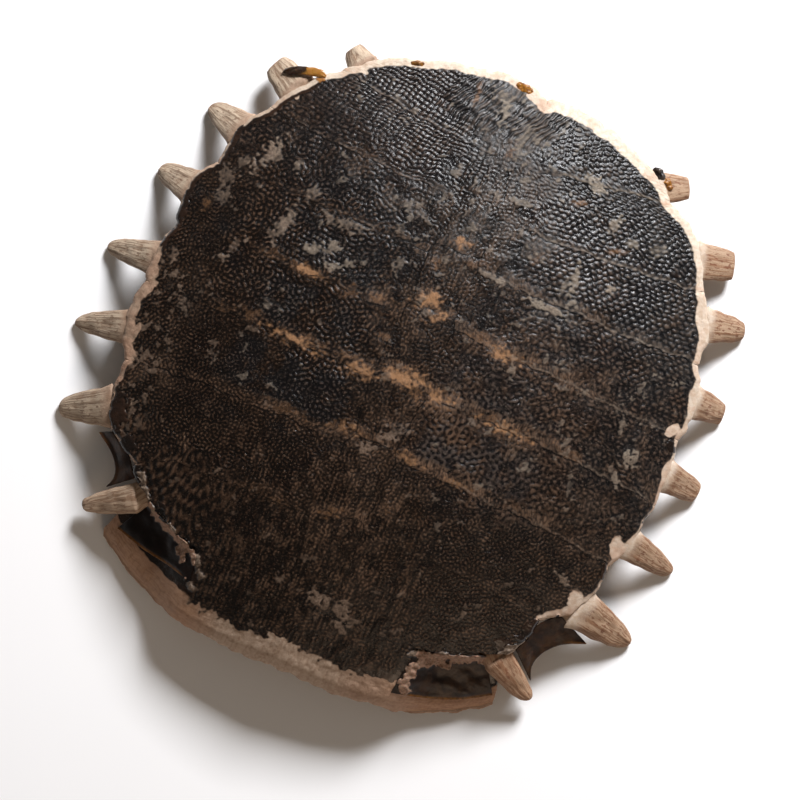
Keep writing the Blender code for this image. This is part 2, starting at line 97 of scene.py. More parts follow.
# How blunt each rib end's tip is, from 0 to 1
BLUNT = {
    "right": (0.5, 0.3, 0.0, 0.0, 0.1, 0.1, 0.8, 0.9),
    "left": (0.0, 0.0, 0.25, 0.8, 0.8, 0.7, 0.9, 0.9),
}
RIB_BODY, RIB_HEAD, HEAD_THICK, HEAD_Z_DROP = 2.1, (3.0, 2.2), 1.5, 4.3
NUCHAL_FRONT, NUCHAL_SWEEP, NUCHAL_HALF = -50.3, (34.65, 9.0, 3.1), 33.6
WING_FROM, WING_TO, WING_DROP, WING_PLATE, RIB_CLEAR = 14.5, 24.5, 2.7, 1.3, 2.2
BODY_END, BODY_MID, ARCH_OUT, ARCH_IN = 2.3, 1.6, 2.2, 1.2
TAIL_VERTEBRAE = [(37.6, 42.6), (42.6, 47.0)]
# The skin's edges: towards the tail and the neck for the pockets, held and free for the webs
POCKET = {
    "right": (
        [(18.6, -38.5), (22.4, -37.3), (26.0, -35.9), (28.2, -35.9)],
        [(18.0, -42.9), (22.0, -42.0), (27.0, -41.3), (32.0, -40.0)],
    ),
    "left": (
        [(19.0, -39.1), (22.6, -37.9), (26.0, -36.9), (28.9, -37.0)],
        [(18.0, -46.3), (23.6, -45.1), (28.6, -43.2), (33.0, -40.6)],
    ),
}
WEB_EDGES = {
    "right": (
        [(33.5, -32.4), (33.8, -30.7), (35.0, -29.1), (36.9, -27.9), (38.8, -26.6)],
        [(36.2, -34.6), (35.6, -33.0), (36.0, -31.2), (37.6, -29.2), (40.6, -27.2)],
    ),
    "left": (
        [(33.9, -32.4), (34.8, -30.0), (35.6, -27.9), (37.0, -26.9), (38.9, -26.4)],
        [(37.6, -36.0), (36.8, -33.8), (37.5, -31.2), (39.8, -28.8), (43.4, -27.2)],
    ),
}
SIGN = {"right": -1.0, "left": 1.0}
FAR = 9.0  # stands for any larger distance to a suture or rim

# ---------------------------------------------------------------- fineness
PITCH = 0.170  # spacing of the points of the upper surfaces
CRACK = 0.015  # width of the dark line at a suture
RIB_RINGS, RIB_SIDES = ((60, 60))  # of a rib's free end
COARSE = 4  # the underside has one point for this many on top

# ---------------------------------------------------------------- noise
TILE, TILE_N = 128.0, 1280  # every noise field repeats after this many mm, and has this many samples a side


def field(seed, wave, spread=None, stretch=(1.0, 1.0)):
    """Noise of unit variance: with spread a narrow band round the wavelength, otherwise a cloud up to it."""
    rng = np.random.default_rng(seed)
    fx = np.fft.rfftfreq(TILE_N, TILE / TILE_N) * stretch[0]
    fy = np.fft.fftfreq(TILE_N, TILE / TILE_N) * stretch[1]
    f = np.maximum(np.hypot(fx[None, :], fy[:, None]) * wave, 1e-5)
    gain = np.exp(-((np.log(f) / spread) ** 2)) if spread else 1.0 / (1.0 + f**2) ** 1.15
    gain[0, 0] = 0.0
    noise = np.fft.irfft2(np.fft.rfft2(rng.standard_normal((TILE_N, TILE_N))) * gain, s=(TILE_N, TILE_N))
    return (noise / noise.std()).astype(np.float32)


def at(noise, x, y):
    """The field's value at points in mm, between its samples."""
    u, v = np.asarray(x) * (TILE_N / TILE), np.asarray(y) * (TILE_N / TILE)
    i, j = np.floor(u).astype(int), np.floor(v).astype(int)
    a, b = u - i, v - j
    i0, j0, i1, j1 = i % TILE_N, j % TILE_N, (i + 1) % TILE_N, (j + 1) % TILE_N
    row_0 = noise[j0, i0] * (1 - a) + noise[j0, i1] * a
    row_1 = noise[j1, i0] * (1 - a) + noise[j1, i1] * a
    return row_0 * (1 - b) + row_1 * b


N_MID = field(2, 7.0)
N_SMALL = field(3, 2.2)
B_3 = field(4, 3.2, 0.4)
B_3B = field(5, 3.2, 0.4)
B_13 = field(6, 1.4, 0.35)
B_13B = field(7, 1.4, 0.35)
B_07 = field(8, 0.75, 0.35)
WORM = field(9, 0.86, 0.2, (1.0, 2.6))
STRIA = field(10, 0.62, 0.45, (1.0, 14.0))
NET = field(12, 0.80, 0.17)
NET_FINE = field(13, 0.62, 0.2)
NET_WIDE = field(14, 0.92, 0.2)


def smooth(a, b, value):
    t = np.clip((value - a) / (b - a), 0.0, 1.0)
    return t * t * (3 - 2 * t)


# ---------------------------------------------------------------- surfaces and plan curves
def dome(x, y):
    """Height of the plates' upper side."""
    r2 = (x / HALF_WIDTH) ** 2 + (y / HALF_LENGTH) ** 2
    return RIM_TOP + RISE * (1 - r2 ** (DOME_POWER / 2)) + KEEL * np.exp(-((x / 4.0) ** 2))


def plate_depth(x, y):
    return PLATE + (RIM_PLATE - PLATE) * smooth(0.84, 1.0, np.hypot(x / HALF_WIDTH, y / 50.0))


def mids():
    return [(SUTURES["right"][n][0] + SUTURES["left"][n][0]) / 2 for n in range(8)]


def neural_side(y):
    """Half width of the neural row."""
    marks = []
    for k, mid in enumerate(mids()):
        if k == 0:
            marks.append((mid, FIRST_NEURAL))
        elif k < LAST:
            marks += [(mid, NEURAL_WIDE), (mid + NEURAL_STEP, NEURAL_NARROW)]
    marks += [(33.5, 3.1), (37.2, TAIL_NEURAL), (LAST_NEURAL, 0.35)]
    ys, ws = zip(*marks)
    return np.interp(y, ys, ws)


def suture(side, k, t):
    """Points of the suture in front of costal k, from the neural row at t = 0 to the rim at 1."""
    y0, y1, x1, power = SUTURES[side][k]
    x0 = TAIL_NEURAL if k == LAST else neural_side(y0)
    return np.stack([SIGN[side] * (x0 + (x1 - x0) * t), y0 + (y1 - y0) * t**power], -1)


def bulged(a, b, swell, t, out, square=0.8):
    """Points from a to b on a curve that bulges by swell towards out."""
    a, b = np.array(a, float), np.array(b, float)
    d = b - a
    n = np.array([d[1], -d[0]]) / np.hypot(*d)
    if n @ np.array(out) < 0:
        n = -n
    s = swell * np.sin(math.pi * np.clip(t, 0, 1)) ** square
    s = np.where((t <= 0) | (t >= 1), 0.0, s)
    return a + d * np.asarray(t)[..., None] + n * s[..., None]


def tail_rim(side, t):
    s = SIGN[side]
    return bulged(TAIL_NOTCH, suture(side, LAST, 1.0), RIM_SWELL[side][LAST], 0.86 * t, (s * 0.4, 1.0), 0.55)


def line(a, b, t):
    return np.asarray(a) + (np.asarray(b) - np.asarray(a)) * t[:, None]


def coons(front, rear, inner, outer):
    """Plan grid inside four rows of points: front/rear run inner to outer, inner/outer front to rear."""
    u = np.linspace(0, 1, len(front))[:, None, None]
    v = np.linspace(0, 1, len(inner))[None, :, None]
    return (
        (1 - v) * front[:, None] + v * rear[:, None] + (1 - u) * inner[None] + u * outer[None]
        - ((1 - u) * (1 - v) * front[0] + u * (1 - v) * front[-1] + (1 - u) * v * rear[0] + u * v * rear[-1])
    )


def steps(length):
    """Number of grid cells for a length, a multiple of COARSE."""
    return COARSE * max(2, round(length / PITCH / COARSE))


def wavy(plan):
    """The sutures and rims wander a little, alike on both sides of a suture."""
    x, y = plan[..., 0], plan[..., 1]
    dx = 0.16 * at(N_MID, x + 9, y) + 0.07 * at(B_3, x, y) + 0.018 * at(B_13, x, y)
    dy = 0.16 * at(N_MID, x, y + 27) + 0.07 * at(B_3B, x, y) + 0.018 * at(B_13B, x, y)
    return plan + np.stack([dx, dy], -1)


def ring_of(grid):
    """Indices of a grid's outline."""
    nu, nv = grid.shape[0] - 1, grid.shape[1] - 1
    i = np.concatenate([np.arange(nu), np.full(nv, nu), np.arange(nu, 0, -1), np.zeros(nv, int)])
    j = np.concatenate([np.zeros(nu, int), np.arange(nv), np.full(nu, nv), np.arange(nv, 0, -1)])
    return i, j


def columns(*parts):
    return np.column_stack(np.broadcast_arrays(*parts))


def outward(points):
    """Unit normals of a closed plan outline, pointing out."""
    area = np.sum(points[:, 0] * np.roll(points[:, 1], -1) - np.roll(points[:, 0], -1) * points[:, 1])
    ahead = np.roll(points, -2, axis=0) - np.roll(points, 2, axis=0)
    ahead /= np.maximum(np.linalg.norm(ahead, axis=1, keepdims=True), 1e-9)
    return np.stack([ahead[:, 1], -ahead[:, 0]], 1) * (1.0 if area > 0 else -1.0)


# ---------------------------------------------------------------- rims and marks, in mm on the plan
def rim_line():
    """The outer edge of all costals, as points."""
    t = np.linspace(0, 1, 120)
    out = []
    for side in ("right", "left"):
        for k in range(LAST):
            a, b = suture(side, k, 1.0), suture(side, k + 1, 1.0)
            out.append(bulged(a, b, RIM_SWELL[side][k], t, (SIGN[side], 0.15 * (k - 3))))
        out.append(tail_rim(side, np.linspace(0, 1, 240)))
        out.append(line(suture(side, LAST, 1.0), tail_rim(side, 1.0), np.linspace(0, 1, 30)))
    return wavy(np.concatenate(out))


RIM = rim_line()


def rim_distance(x, y):
    """Distance to the outer edge, up to FAR."""
    found = np.full(x.shape, FAR)
    near = np.hypot(x / 42.5, y / 48.5) > 0.76
    px, py = x[near], y[near]
    best = np.full(px.shape, FAR**2)
    for at_y in range(-40, 52, 4):  # in strips, against the part of the edge that is close
        mine = (py >= at_y) & (py < at_y + 4)
        edge = RIM[(RIM[:, 1] > at_y - 8) & (RIM[:, 1] < at_y + 12)]
        if not mine.any() or not len(edge):
            continue
        rows = np.flatnonzero(mine)
        for part in np.array_split(rows, max(1, len(rows) * len(edge) // 4_000_000)):
            d = (px[part, None] - edge[None, :, 0]) ** 2 + (py[part, None] - edge[None, :, 1]) ** 2
            best[part] = d.min(1)
    found[near] = np.minimum(FAR, np.sqrt(best))
    return found


# Width of bare pale bone along the rim, by y
MARGIN = {
    "right": [
        (-34, 0.25), (-26, 0.15), (-20, 0.3), (-16, 0.9), (-13, 1.7), (-9, 1.3), (-5, 1.3),
        (-2, 1.9), (2, 1.1), (5, 0.12), (9, 0.12), (13, 0.3), (20, 0.3), (26, 0.35),
        (30, 0.5), (36, 0.7), (41, 1.0), (46, 1.2), (49, 1.2),
    ],
    "left": [
        (-34, 0.0), (-28, 0.0), (-26, 0.8), (-22, 1.4), (-19.5, 0.3), (-15, 0.15), (-13, 0.5),
        (-10.5, 1.0), (-8, 0.3), (-4, 0.12), (0, 0.4), (2.5, 0.9), (5, 0.3), (8, 0.5),
        (9.5, 1.0), (11, 0.5), (13, 0.9), (15.5, 1.5), (18, 0.6), (22, 0.9), (26, 2.0),
        (30, 1.3), (33, 0.9), (36, 1.2), (40, 1.1), (44, 1.7), (49, 1.8),
    ],
}
# Marks as (x, y, half length, half width, turn in degrees from +X, strength)
# Pale scale
PALE = [
    (-33.2, 23.8, 3.3, 1.4, 62, 1.0), (-28.3, 23.6, 1.3, 0.8, 80, 0.7), (-24.4, 20.1, 1.7, 0.8, 70, 0.7),
    (-26.5, 14.2, 3.4, 1.1, 75, 0.8), (-17.6, 18.2, 3.6, 1.0, 5, 0.8), (-20.6, 12.6, 1.5, 1.1, 20, 0.8),
    (-18.0, 13.9, 1.9, 1.0, 65, 0.8), (-17.2, 11.4, 1.3, 0.8, 10, 0.9), (-14.6, 13.0, 1.6, 0.6, 50, 0.8),
    (-31.0, 9.7, 0.7, 0.5, 40, 1.0), (-33.5, 5.9, 1.4, 0.6, 30, 0.8), (-40.6, 3.5, 1.2, 1.1, 80, 0.9),
    (-24.0, 2.0, 1.3, 1.1, 70, 0.6), (-37.2, 14.5, 1.5, 1.2, 0, 0.7), (-38.6, 17.8, 1.2, 2.0, 20, 0.75),
    (-36.6, 20.8, 1.4, 1.0, 60, 0.6), (18.5, 24.4, 3.6, 0.6, 95, 0.9), (17.4, 22.8, 2.6, 0.5, 80, 0.7),
    (24.4, 25.6, 0.9, 0.8, 0, 0.9), (6.3, 19.7, 2.4, 0.5, -4, 0.8), (15.8, 18.7, 4.2, 0.7, -3, 0.9),
    (19.6, 20.6, 1.1, 1.3, 60, 0.8), (15.8, 39.4, 1.8, 1.1, -30, 0.9), (20.9, 35.4, 2.2, 0.9, 60, 0.8),
    (24.6, 33.4, 1.1, 0.6, 10, 0.7), (37.6, 2.4, 1.7, 1.5, 20, 0.95), (34.4, 6.9, 2.0, 0.5, 100, 0.7),
    (33.2, 8.6, 0.9, 0.5, 40, 0.6), (36.8, -1.6, 1.9, 0.6, 125, 0.9), (-2.0, 44.5, 2.6, 1.0, 95, 0.8),
    (2.4, 42.0, 2.2, 0.7, 80, 0.6), (2.0, -9.0, 2.2, 1.5, 60, 0.8), (-0.8, -12.2, 1.9, 1.2, 10, 0.8),
    (2.2, -37.0, 1.9, 1.3, 10, 1.0), (5.4, -37.3, 2.0, 1.4, -15, 1.0), (7.7, -38.4, 1.2, 0.9, 40, 0.9),
    (6.3, -39.8, 1.6, 0.8, -30, 0.9), (-5.2, -36.8, 1.2, 0.7, 0, 0.7), (-11.6, -39.4, 0.8, 0.7, 0, 0.6),
    (-20.9, -25.0, 1.2, 0.3, 50, 0.8), (-9.6, -31.0, 1.0, 0.35, 60, 0.7), (12.8, -31.6, 1.3, 0.3, 55, 0.7),
    (23.4, -30.4, 0.8, 0.5, 100, 0.8), (30.6, -5.2, 2.2, 0.4, 100, 0.6), (27.6, 1.2, 1.5, 0.4, 70, 0.6),
    (-28.8, -8.5, 0.9, 0.5, 30, 0.6), (14.9, 8.0, 2.0, 0.6, 110, 0.7), (13.2, 15.0, 1.8, 0.5, 60, 0.6),
    (22.2, 11.0, 1.4, 1.0, 0, 0.5), (-7.4, 16.2, 1.2, 1.0, 40, 0.6), (-9.8, 21.0, 1.0, 1.0, 0, 0.5),
    (-36.5, -3.4, 0.9, 0.9, 0, 0.55), (-38.2, -8.3, 0.6, 0.5, 0, 0.5), (19.8, -14.2, 1.0, 0.3, 70, 0.5),
    (35.5, -19.2, 1.4, 0.7, 150, 0.9), (-37.9, -20.9, 0.8, 0.7, 0, 0.85), (-37.6, -24.2, 0.9, 0.8, 0, 0.85),
    (28.8, 33.9, 1.8, 0.9, 60, 0.6), (11.0, 44.2, 1.6, 0.5, 75, 0.6), (7.8, 46.0, 1.4, 0.4, 80, 0.5),
]
# Orange brown stains
TAN = [
    (0.0, 22.8, 1.4, 1.2, 0, 0.9), (-0.9, 12.6, 2.2, 1.8, 40, 1.0), (1.2, 10.6, 2.4, 1.0, 30, 0.9),
    (0.0, 0.0, 3.4, 1.7, 10, 1.0), (3.0, -1.6, 1.6, 1.0, 0, 0.7), (-18.0, -1.4, 5.2, 1.1, -2, 1.0),
    (-6.3, -1.8, 2.8, 1.4, 5, 0.9), (6.3, -0.8, 2.9, 1.5, -4, 1.0), (18.5, -1.2, 4.6, 1.0, 0, 1.0),
    (-20.2, 9.2, 2.3, 0.9, -8, 1.0), (13.0, 9.2, 2.9, 1.3, -4, 1.0), (9.0, 9.9, 2.6, 0.7, -5, 0.6),
    (-13.0, 8.6, 2.8, 0.7, 5, 0.45), (-5.0, -10.8, 2.8, 1.2, 10, 0.8), (6.0, -11.6, 3.0, 0.9, -8, 0.8),
    (14.0, -12.0, 3.4, 0.7, -3, 0.7), (-13.0, -11.9, 2.0, 0.8, 0, 0.5), (-2.0, -24.0, 2.0, 1.0, 30, 0.6),
    (5.8, -19.8, 1.4, 0.8, 20, 0.4), (3.0, 20.5, 2.4, 0.8, 20, 0.5), (-2.5, 17.8, 1.8, 0.8, 80, 0.6),
    (-8.4, 9.6, 1.6, 0.8, 10, 0.6), (-13.8, 7.6, 1.0, 0.4, 10, 0.4), (11.8, 24.8, 1.6, 0.6, 70, 0.4),
    (14.2, 35.8, 1.6, 0.6, 20, 0.6), (23.2, 31.4, 1.8, 0.6, 20, 0.6), (-39.2, 13.0, 0.9, 1.3, 10, 0.6),
    (-7.0, 45.5, 2.6, 0.5, 95, 0.6), (1.2, 38.6, 1.4, 0.6, 70, 0.5), (-23.6, -37.2, 1.4, 0.8, 10, 0.5),
    (-5.2, 4.6, 0.9, 0.8, 0, 0.5), (8.2, -6.2, 1.0, 0.7, 40, 0.3), (-10.2, -25.6, 2.2, 0.6, 0, 0.4),
]
# Glossy dried skin still lying on the bone
FILM = [
    (-42.5, 10.6, 0.9, 3.8, 0, 1.0), (-43.4, 4.6, 0.6, 1.3, 0, 1.0), (-39.3, 24.0, 0.5, 4.2, 0, 0.9),
    (43.0, 6.6, 1.2, 0.8, -30, 0.8), (43.9, -5.4, 0.3, 1.6, 0, 0.7), (41.2, -15.6, 0.4, 1.6, 15, 0.8),
    (-39.2, -23.0, 2.0, 3.4, 12, 1.0), (-35.6, -27.4, 1.4, 2.2, 0, 1.0),
    (-33.0, -31.0, 1.4, 2.0, 20, 0.9), (34.4, -28.6, 1.4, 2.2, -30, 1.0), (31.2, -32.6, 1.6, 1.2, 0, 0.7),
    (38.4, -26.0, 1.6, 1.0, -20, 0.9), (-30.0, -34.0, 1.4, 1.2, 0, 0.8), (-26.6, -33.6, 1.0, 0.5, -20, 0.7),
    (32.6, 31.8, 1.0, 0.6, 0, 0.5),
]
# Amber gristle
AMBER = [
    (-30.9, 38.0, 1.0, 0.6, -12, 0.8), (25.4, 45.2, 1.2, 0.7, -20, 0.9), (-33.4, -29.8, 0.8, 2.0, 10, 0.35),
    (-44.0, 6.5, 0.5, 1.6, 0, 0.6),
]
# Bare pale collars at rib roots
COLLAR = [
    (41.6, -11.4, 2.2, 1.3, 110, 1.0), (39.4, -22.2, 2.8, 1.6, 120, 1.0), (36.9, -25.4, 1.5, 0.6, 150, 1.0),
    (44.2, 3.0, 1.9, 1.1, 95, 1.0), (43.6, 15.4, 2.4, 1.2, 95, 1.0), (40.8, 26.6, 2.6, 1.3, 100, 1.0),
    (42.2, 9.2, 1.5, 0.9, 60, 0.9), (-41.6, -10.6, 2.2, 0.7, 80, 0.9), (-43.2, 1.4, 2.0, 0.7, 90, 0.9),
    (-34.0, 35.0, 2.4, 0.6, 130, 1.0), (-26.0, 42.4, 2.4, 0.6, 150, 1.0), (26.4, 42.9, 2.0, 0.7, 128, 1.0),
]
# Dried crusts as (points, half width)
CRUST = [
    ([(18.6, -39.3), (20.2, -38.7), (25.1, -37.5), (30.5, -35.6), (33.1, -31.9)], 0.75),
    ([(24.0, -38.1), (22.2, -38.9), (20.3, -40.6), (19.2, -43.0), (19.4, -44.6)], 1.05),
    (
        [
            (-31.6, -30.6), (-29.6, -33.5), (-26.4, -36.0), (-23.3, -37.1), (-20.9, -37.6), (-19.1, -38.8),
            (-16.8, -41.1),
        ],
        0.62,
    ),
    ([(-21.3, -39.0), (-20.6, -40.2)], 0.7), ([(-18.6, -43.0), (-17.6, -43.6)], 0.6),
]
# Lumps of dried gristle on the rim: x, y, half length, half width, height, turn, amber
KNOBS = {
    ("left", LAST): [(24.2, 45.4, 1.3, 0.8, 0.55, 150, 0.0), (26.0, 44.5, 1.2, 0.7, 0.34, 150, 0.9)],
    ("right", LAST): [(-0.6, 49.1, 1.5, 0.8, 0.42, -4, 0.85), (-17.6, 46.1, 1.1, 0.5, 0.34, 16, 0.6)],
}
# Strength and width of the growth band behind each costal's front suture, and its strength on each neural
BANDS = (0.0, 0.45, 0.75, 1.0, 0.9, 0.6, 0.5, 0.4)
BAND_WIDTH = (0.5, 2.0, 2.1, 2.2, 1.9, 1.4, 1.1, 0.9)
NEURAL_BANDS = (0.3, 0.5, 0.8, 0.9, 0.8, 0.5, 0.3)


def blobs(x, y, marks, ragged=0.5, soft=0.3):
    """Marks with ragged edges, as a mask from 0 to 1."""
    total = np.zeros(x.shape)
    rough = ragged * (0.55 * at(B_13, x, y) + 0.45 * at(B_07, x * 0.9, y * 0.9) + 0.5 * at(N_SMALL, x, y))
    for mx, my, a, b, turn, strength in marks:
        near = (abs(x - mx) < 2.6 * max(a, b)) & (abs(y - my) < 2.6 * max(a, b))
        if not near.any():
            continue
        c, s = math.cos(math.radians(turn)), math.sin(math.radians(turn))
        dx, dy = x[near] - mx, y[near] - my
        r = np.hypot((dx * c + dy * s) / a, (-dx * s + dy * c) / b)
        total[near] = np.maximum(total[near], strength * smooth(-0.5 * soft, soft, 1.0 - r + rough[near]))
    return total


def crusts(x, y):
    """The ragged dried crusts, as a mask from 0 to 1."""
    total = np.zeros(x.shape)
    rough = 0.20 * at(B_13B, x, y) + 0.10 * at(B_07, x, y) + 0.26 * at(B_3, x + 3, y)
    for points, half in CRUST:
        best = np.full(x.shape, 99.0)
        for (ax, ay), (bx, by) in zip(points[:-1], points[1:]):
            dx, dy = bx - ax, by - ay
            t = np.clip(((x - ax) * dx + (y - ay) * dy) / (dx * dx + dy * dy), 0, 1)
            best = np.minimum(best, np.hypot(x - ax - t * dx, y - ay - t * dy))
        total = np.maximum(total, smooth(-0.1, 0.25, 1.0 - best / half + rough))
    return total


# ---------------------------------------------------------------- building meshes
CHANNELS = ("relief", "wear", "pale", "tan", "bare", "film", "amber", "cool", "rib")


class Shape:
    """Points, faces and surface values of one piece, gathered from several closed shells."""

    def __init__(self):
        self.points, self.quads, self.tris, self.count = [], [], [], 0
        self.values = {name: [] for name in CHANNELS}
        self.flow, self.creases = [], []

    def add(self, points, quads=None, tris=None, flow=None, crease=None, **values):
        points = np.asarray(points, float).reshape(-1, 3)
        n = len(points)
        self.points.append(points)
        if quads is not None and len(quads):
            self.quads.append(np.asarray(quads) + self.count)
        if tris is not None and len(tris):
            self.tris.append(np.asarray(tris) + self.count)
        for name in CHANNELS:
            self.values[name].append(np.broadcast_to(np.asarray(values.get(name, 0.0), float), (n,)))
        if crease is not None:
            self.creases.append(np.asarray(crease) + self.count)
        self.flow.append(np.zeros((n, 2)) if flow is None else np.asarray(flow, float).reshape(-1, 2))
        self.count += n

    def make(self, name, mat, slot, *nodes):
        points = np.concatenate(self.points) + np.array([SHIFT[0], SHIFT[1], 0.0])
        points[:, 2] = np.maximum(points[:, 2], 0.0)
        quads = np.concatenate(self.quads) if self.quads else np.zeros((0, 4), int)
        tris = np.concatenate(self.tris) if self.tris else np.zeros((0, 3), int)
        mesh = bpy.data.meshes.new(name)
        mesh.vertices.add(len(points))
        mesh.vertices.foreach_set("co", (points / 1000).astype(np.float32).ravel())
        loops = np.concatenate([quads.ravel(), tris.ravel()])
        mesh.loops.add(len(loops))
        mesh.loops.foreach_set("vertex_index", loops.astype(np.int32))
        starts = np.concatenate([np.arange(len(quads)) * 4, len(quads) * 4 + np.arange(len(tris)) * 3])
        mesh.polygons.add(len(starts))
        mesh.polygons.foreach_set("loop_start", starts.astype(np.int32))
        mesh.polygons.foreach_set("use_smooth", np.ones(len(starts), bool))
        mesh.update(calc_edges=True)
        for channel in CHANNELS:
            layer = mesh.attributes.new(channel, "FLOAT", "POINT")
            layer.data.foreach_set("value", np.concatenate(self.values[channel]).astype(np.float32))
        flow = np.concatenate(self.flow)
        layer = mesh.attributes.new("flow", "FLOAT_VECTOR", "POINT")
        flow = np.column_stack([flow, np.zeros(len(flow))]).astype(np.float32)
        layer.data.foreach_set("vector", flow.ravel())
        if self.creases:
            marked = np.zeros(len(points), bool)
            marked[np.concatenate(self.creases)] = True
            ends = np.zeros(len(mesh.edges) * 2, np.int32)
            mesh.edges.foreach_get("vertices", ends)
            sharp = mesh.attributes.new("sharp_edge", "BOOLEAN", "EDGE")
            sharp.data.foreach_set("value", marked[ends.reshape(-1, 2)].all(1))
        obj = bpy.data.objects.new(name, mesh)
        bpy.context.scene.collection.objects.link(obj)
        obj.data.materials.append(mat)
        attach(obj, "root")
        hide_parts(*nodes)
        return obj


def cells_of(index):
    """The quads of a grid of point numbers."""
    return np.stack([index[:-1, :-1], index[1:, :-1], index[1:, 1:], index[:-1, 1:]], -1).reshape(-1, 4)


def plate(shape, plan, top, bottom, values, flow, free):
    """A closed plate. plan, top and values are on the fine grid, and bottom is a function of x and y.

    free is the share of a free rim, against a suture, at each point of the grid's outline.
    """
    nu, nv = plan.shape[0] - 1, plan.shape[1] - 1
    i, j = nu // 2, nv // 2
    du, dv = plan[i + 1, j] - plan[i, j], plan[i, j + 1] - plan[i, j]
    flip = du[0] * dv[1] - du[1] * dv[0] < 0
    index = np.arange((nu + 1) * (nv + 1)).reshape(nu + 1, nv + 1)
    quads = [cells_of(index)]
    points = [np.column_stack([plan.reshape(-1, 2), top.ravel()])]
    rim = ring_of(plan)
    ring, outline, edge_top = index[rim], plan[rim], top[rim]
    normal = outward(outline)
    edge_low = bottom(outline[:, 0], outline[:, 1])
    count = index.size
    n = len(ring)
    values = {k: [np.broadcast_to(np.asarray(v, float), top.shape).ravel()] for k, v in values.items()}
    flows = [flow.reshape(-1, 2)]
    last = ring
    rounds = at(B_07, outline[:, 0] * 1.3, outline[:, 1] * 1.3)
    for f, puff in ((0.22, 0.10), (0.5, 0.15), (0.8, 0.06)):  # share of the way down, bulge
        level = edge_top + (edge_low - edge_top) * f
        spread = (puff + 0.012 * rounds) * free
        points.append(np.column_stack([outline + normal * spread[:, None], level]))
        here = count + np.arange(n)
        quads.append(np.stack([last, here, np.roll(here, -1), np.roll(last, -1)], -1))
        for k in values:
            v = values[k][0][ring]
            if k == "bare":
                v = np.maximum(v, free)
            if k in ("relief", "pale", "film"):
                v = v * (1 - f)
            values[k].append(v)
        flows.append(flows[0][ring])
        last = here
        count += n
    low_plan = plan[::COARSE, ::COARSE]
    low = bottom(low_plan[..., 0], low_plan[..., 1])
    points.append(np.column_stack([low_plan.reshape(-1, 2), low.ravel()]))
    low_index = count + np.arange(low.size).reshape(low.shape)
    quads.append(cells_of(low_index)[:, [0, 3, 2, 1]])
    low_ring = low_index[ring_of(low_plan)]
    # where the sides' fine points meet the underside's coarse ones
    fine = last.reshape(-1, COARSE)
    after = np.roll(fine[:, 0], -1)
    b0, b1 = low_ring, np.roll(low_ring, -1)
    f = [*fine.T, after]
    fans = ((f[0], b0, f[1]), (f[1], b0, f[2]), (f[2], b0, b1), (f[2], b1, f[3]), (f[3], b1, f[4]))
    tris = np.concatenate([np.stack(fan, -1) for fan in fans])
    for k in values:
        under = {"bare": 1.0, "wear": 0.5, "cool": 0.2}.get(k, 0.0)
        values[k].append(np.full(low.size, under))
    flows.append(low_plan.reshape(-1, 2))
    quads = np.concatenate(quads)
    if flip:
        quads, tris = quads[:, ::-1], tris[:, ::-1]
    shape.add(
        np.concatenate(points), quads, tris, np.concatenate(flows), ring[free < 0.3],
        **{k: np.concatenate(v) for k, v in values.items()},
    )


def spline(rows, count):
    """Catmull-Rom through rows of numbers, with count points."""
    rows = np.asarray(rows, float)
    t = np.linspace(0, len(rows) - 1, count)
    n = np.minimum(t.astype(int), len(rows) - 2)
    f = (t - n)[:, None]
    p = [rows[np.clip(n + i, 0, len(rows) - 1)] for i in (-1, 0, 1, 2)]
    return 0.5 * (
        2 * p[1] + (p[2] - p[0]) * f + (2 * p[0] - 5 * p[1] + 4 * p[2] - p[3]) * f**2
        + (3 * p[1] - p[0] - 3 * p[2] + p[3]) * f**3
    )


def tube(shape, centre, wide, high, sides, swell=None, square=1.0, **values):
    """A closed body through rings (centre, half width and half height vectors), with a fan at each end."""
    n = len(centre)
    a = 2 * math.pi * np.arange(sides) / sides
    ca = np.sign(np.cos(a)) * abs(np.cos(a)) ** square
    sa = np.sign(np.sin(a)) * abs(np.sin(a)) ** square
    points = centre[:, None] + wide[:, None] * ca[None, :, None] + high[:, None] * sa[None, :, None]
    along = np.concatenate([[0], np.cumsum(np.linalg.norm(np.diff(centre, axis=0), axis=1))])
    round_mm = (math.pi - abs(a[None, :] - math.pi)) * (np.linalg.norm(wide, axis=1).mean() + 0.4) * 0.9
    flow = np.stack(np.broadcast_arrays(round_mm, along[:, None]), -1)
    lift = np.zeros((n, sides))
    if swell is not None:
        lift = swell(round_mm, along[:, None] + 0 * round_mm)
        radial = points - centre[:, None]
        radial /= np.maximum(np.linalg.norm(radial, axis=2, keepdims=True), 1e-6)
        points = points + radial * lift[..., None]
    index = np.arange(n * sides).reshape(n, sides)
    nxt = np.roll(index, -1, axis=1)
    quads = np.stack([index[:-1], nxt[:-1], nxt[1:], index[1:]], -1).reshape(-1, 4)
    ends = np.array([points[0].mean(0), points[-1].mean(0)])
    e0, e1 = n * sides, n * sides + 1
    tris = np.concatenate([
        columns(e0, nxt[0], index[0]), columns(e1, index[-1], nxt[-1]),
    ])
    if np.dot(np.cross(wide[0], high[0]), centre[1] - centre[0]) < 0:
        quads, tris = quads[:, ::-1], tris[:, ::-1]
    flow = np.concatenate([flow.reshape(-1, 2), [[0, 0], [0, along[-1]]]])
    full = {}
    for k, v in values.items():
        v = v(along)[:, None] if callable(v) else np.asarray(v, float)
        v = np.broadcast_to(v, (n, sides))
        full[k] = np.append(v.ravel(), [v[0, 0], v[-1, 0]])
    if swell is not None and "relief" not in full:
        full["relief"] = np.append((lift / 0.06).ravel(), [0.0, 0.0])
    shape.add(np.concatenate([points.reshape(-1, 3), ends]), quads, tris, flow, **full)


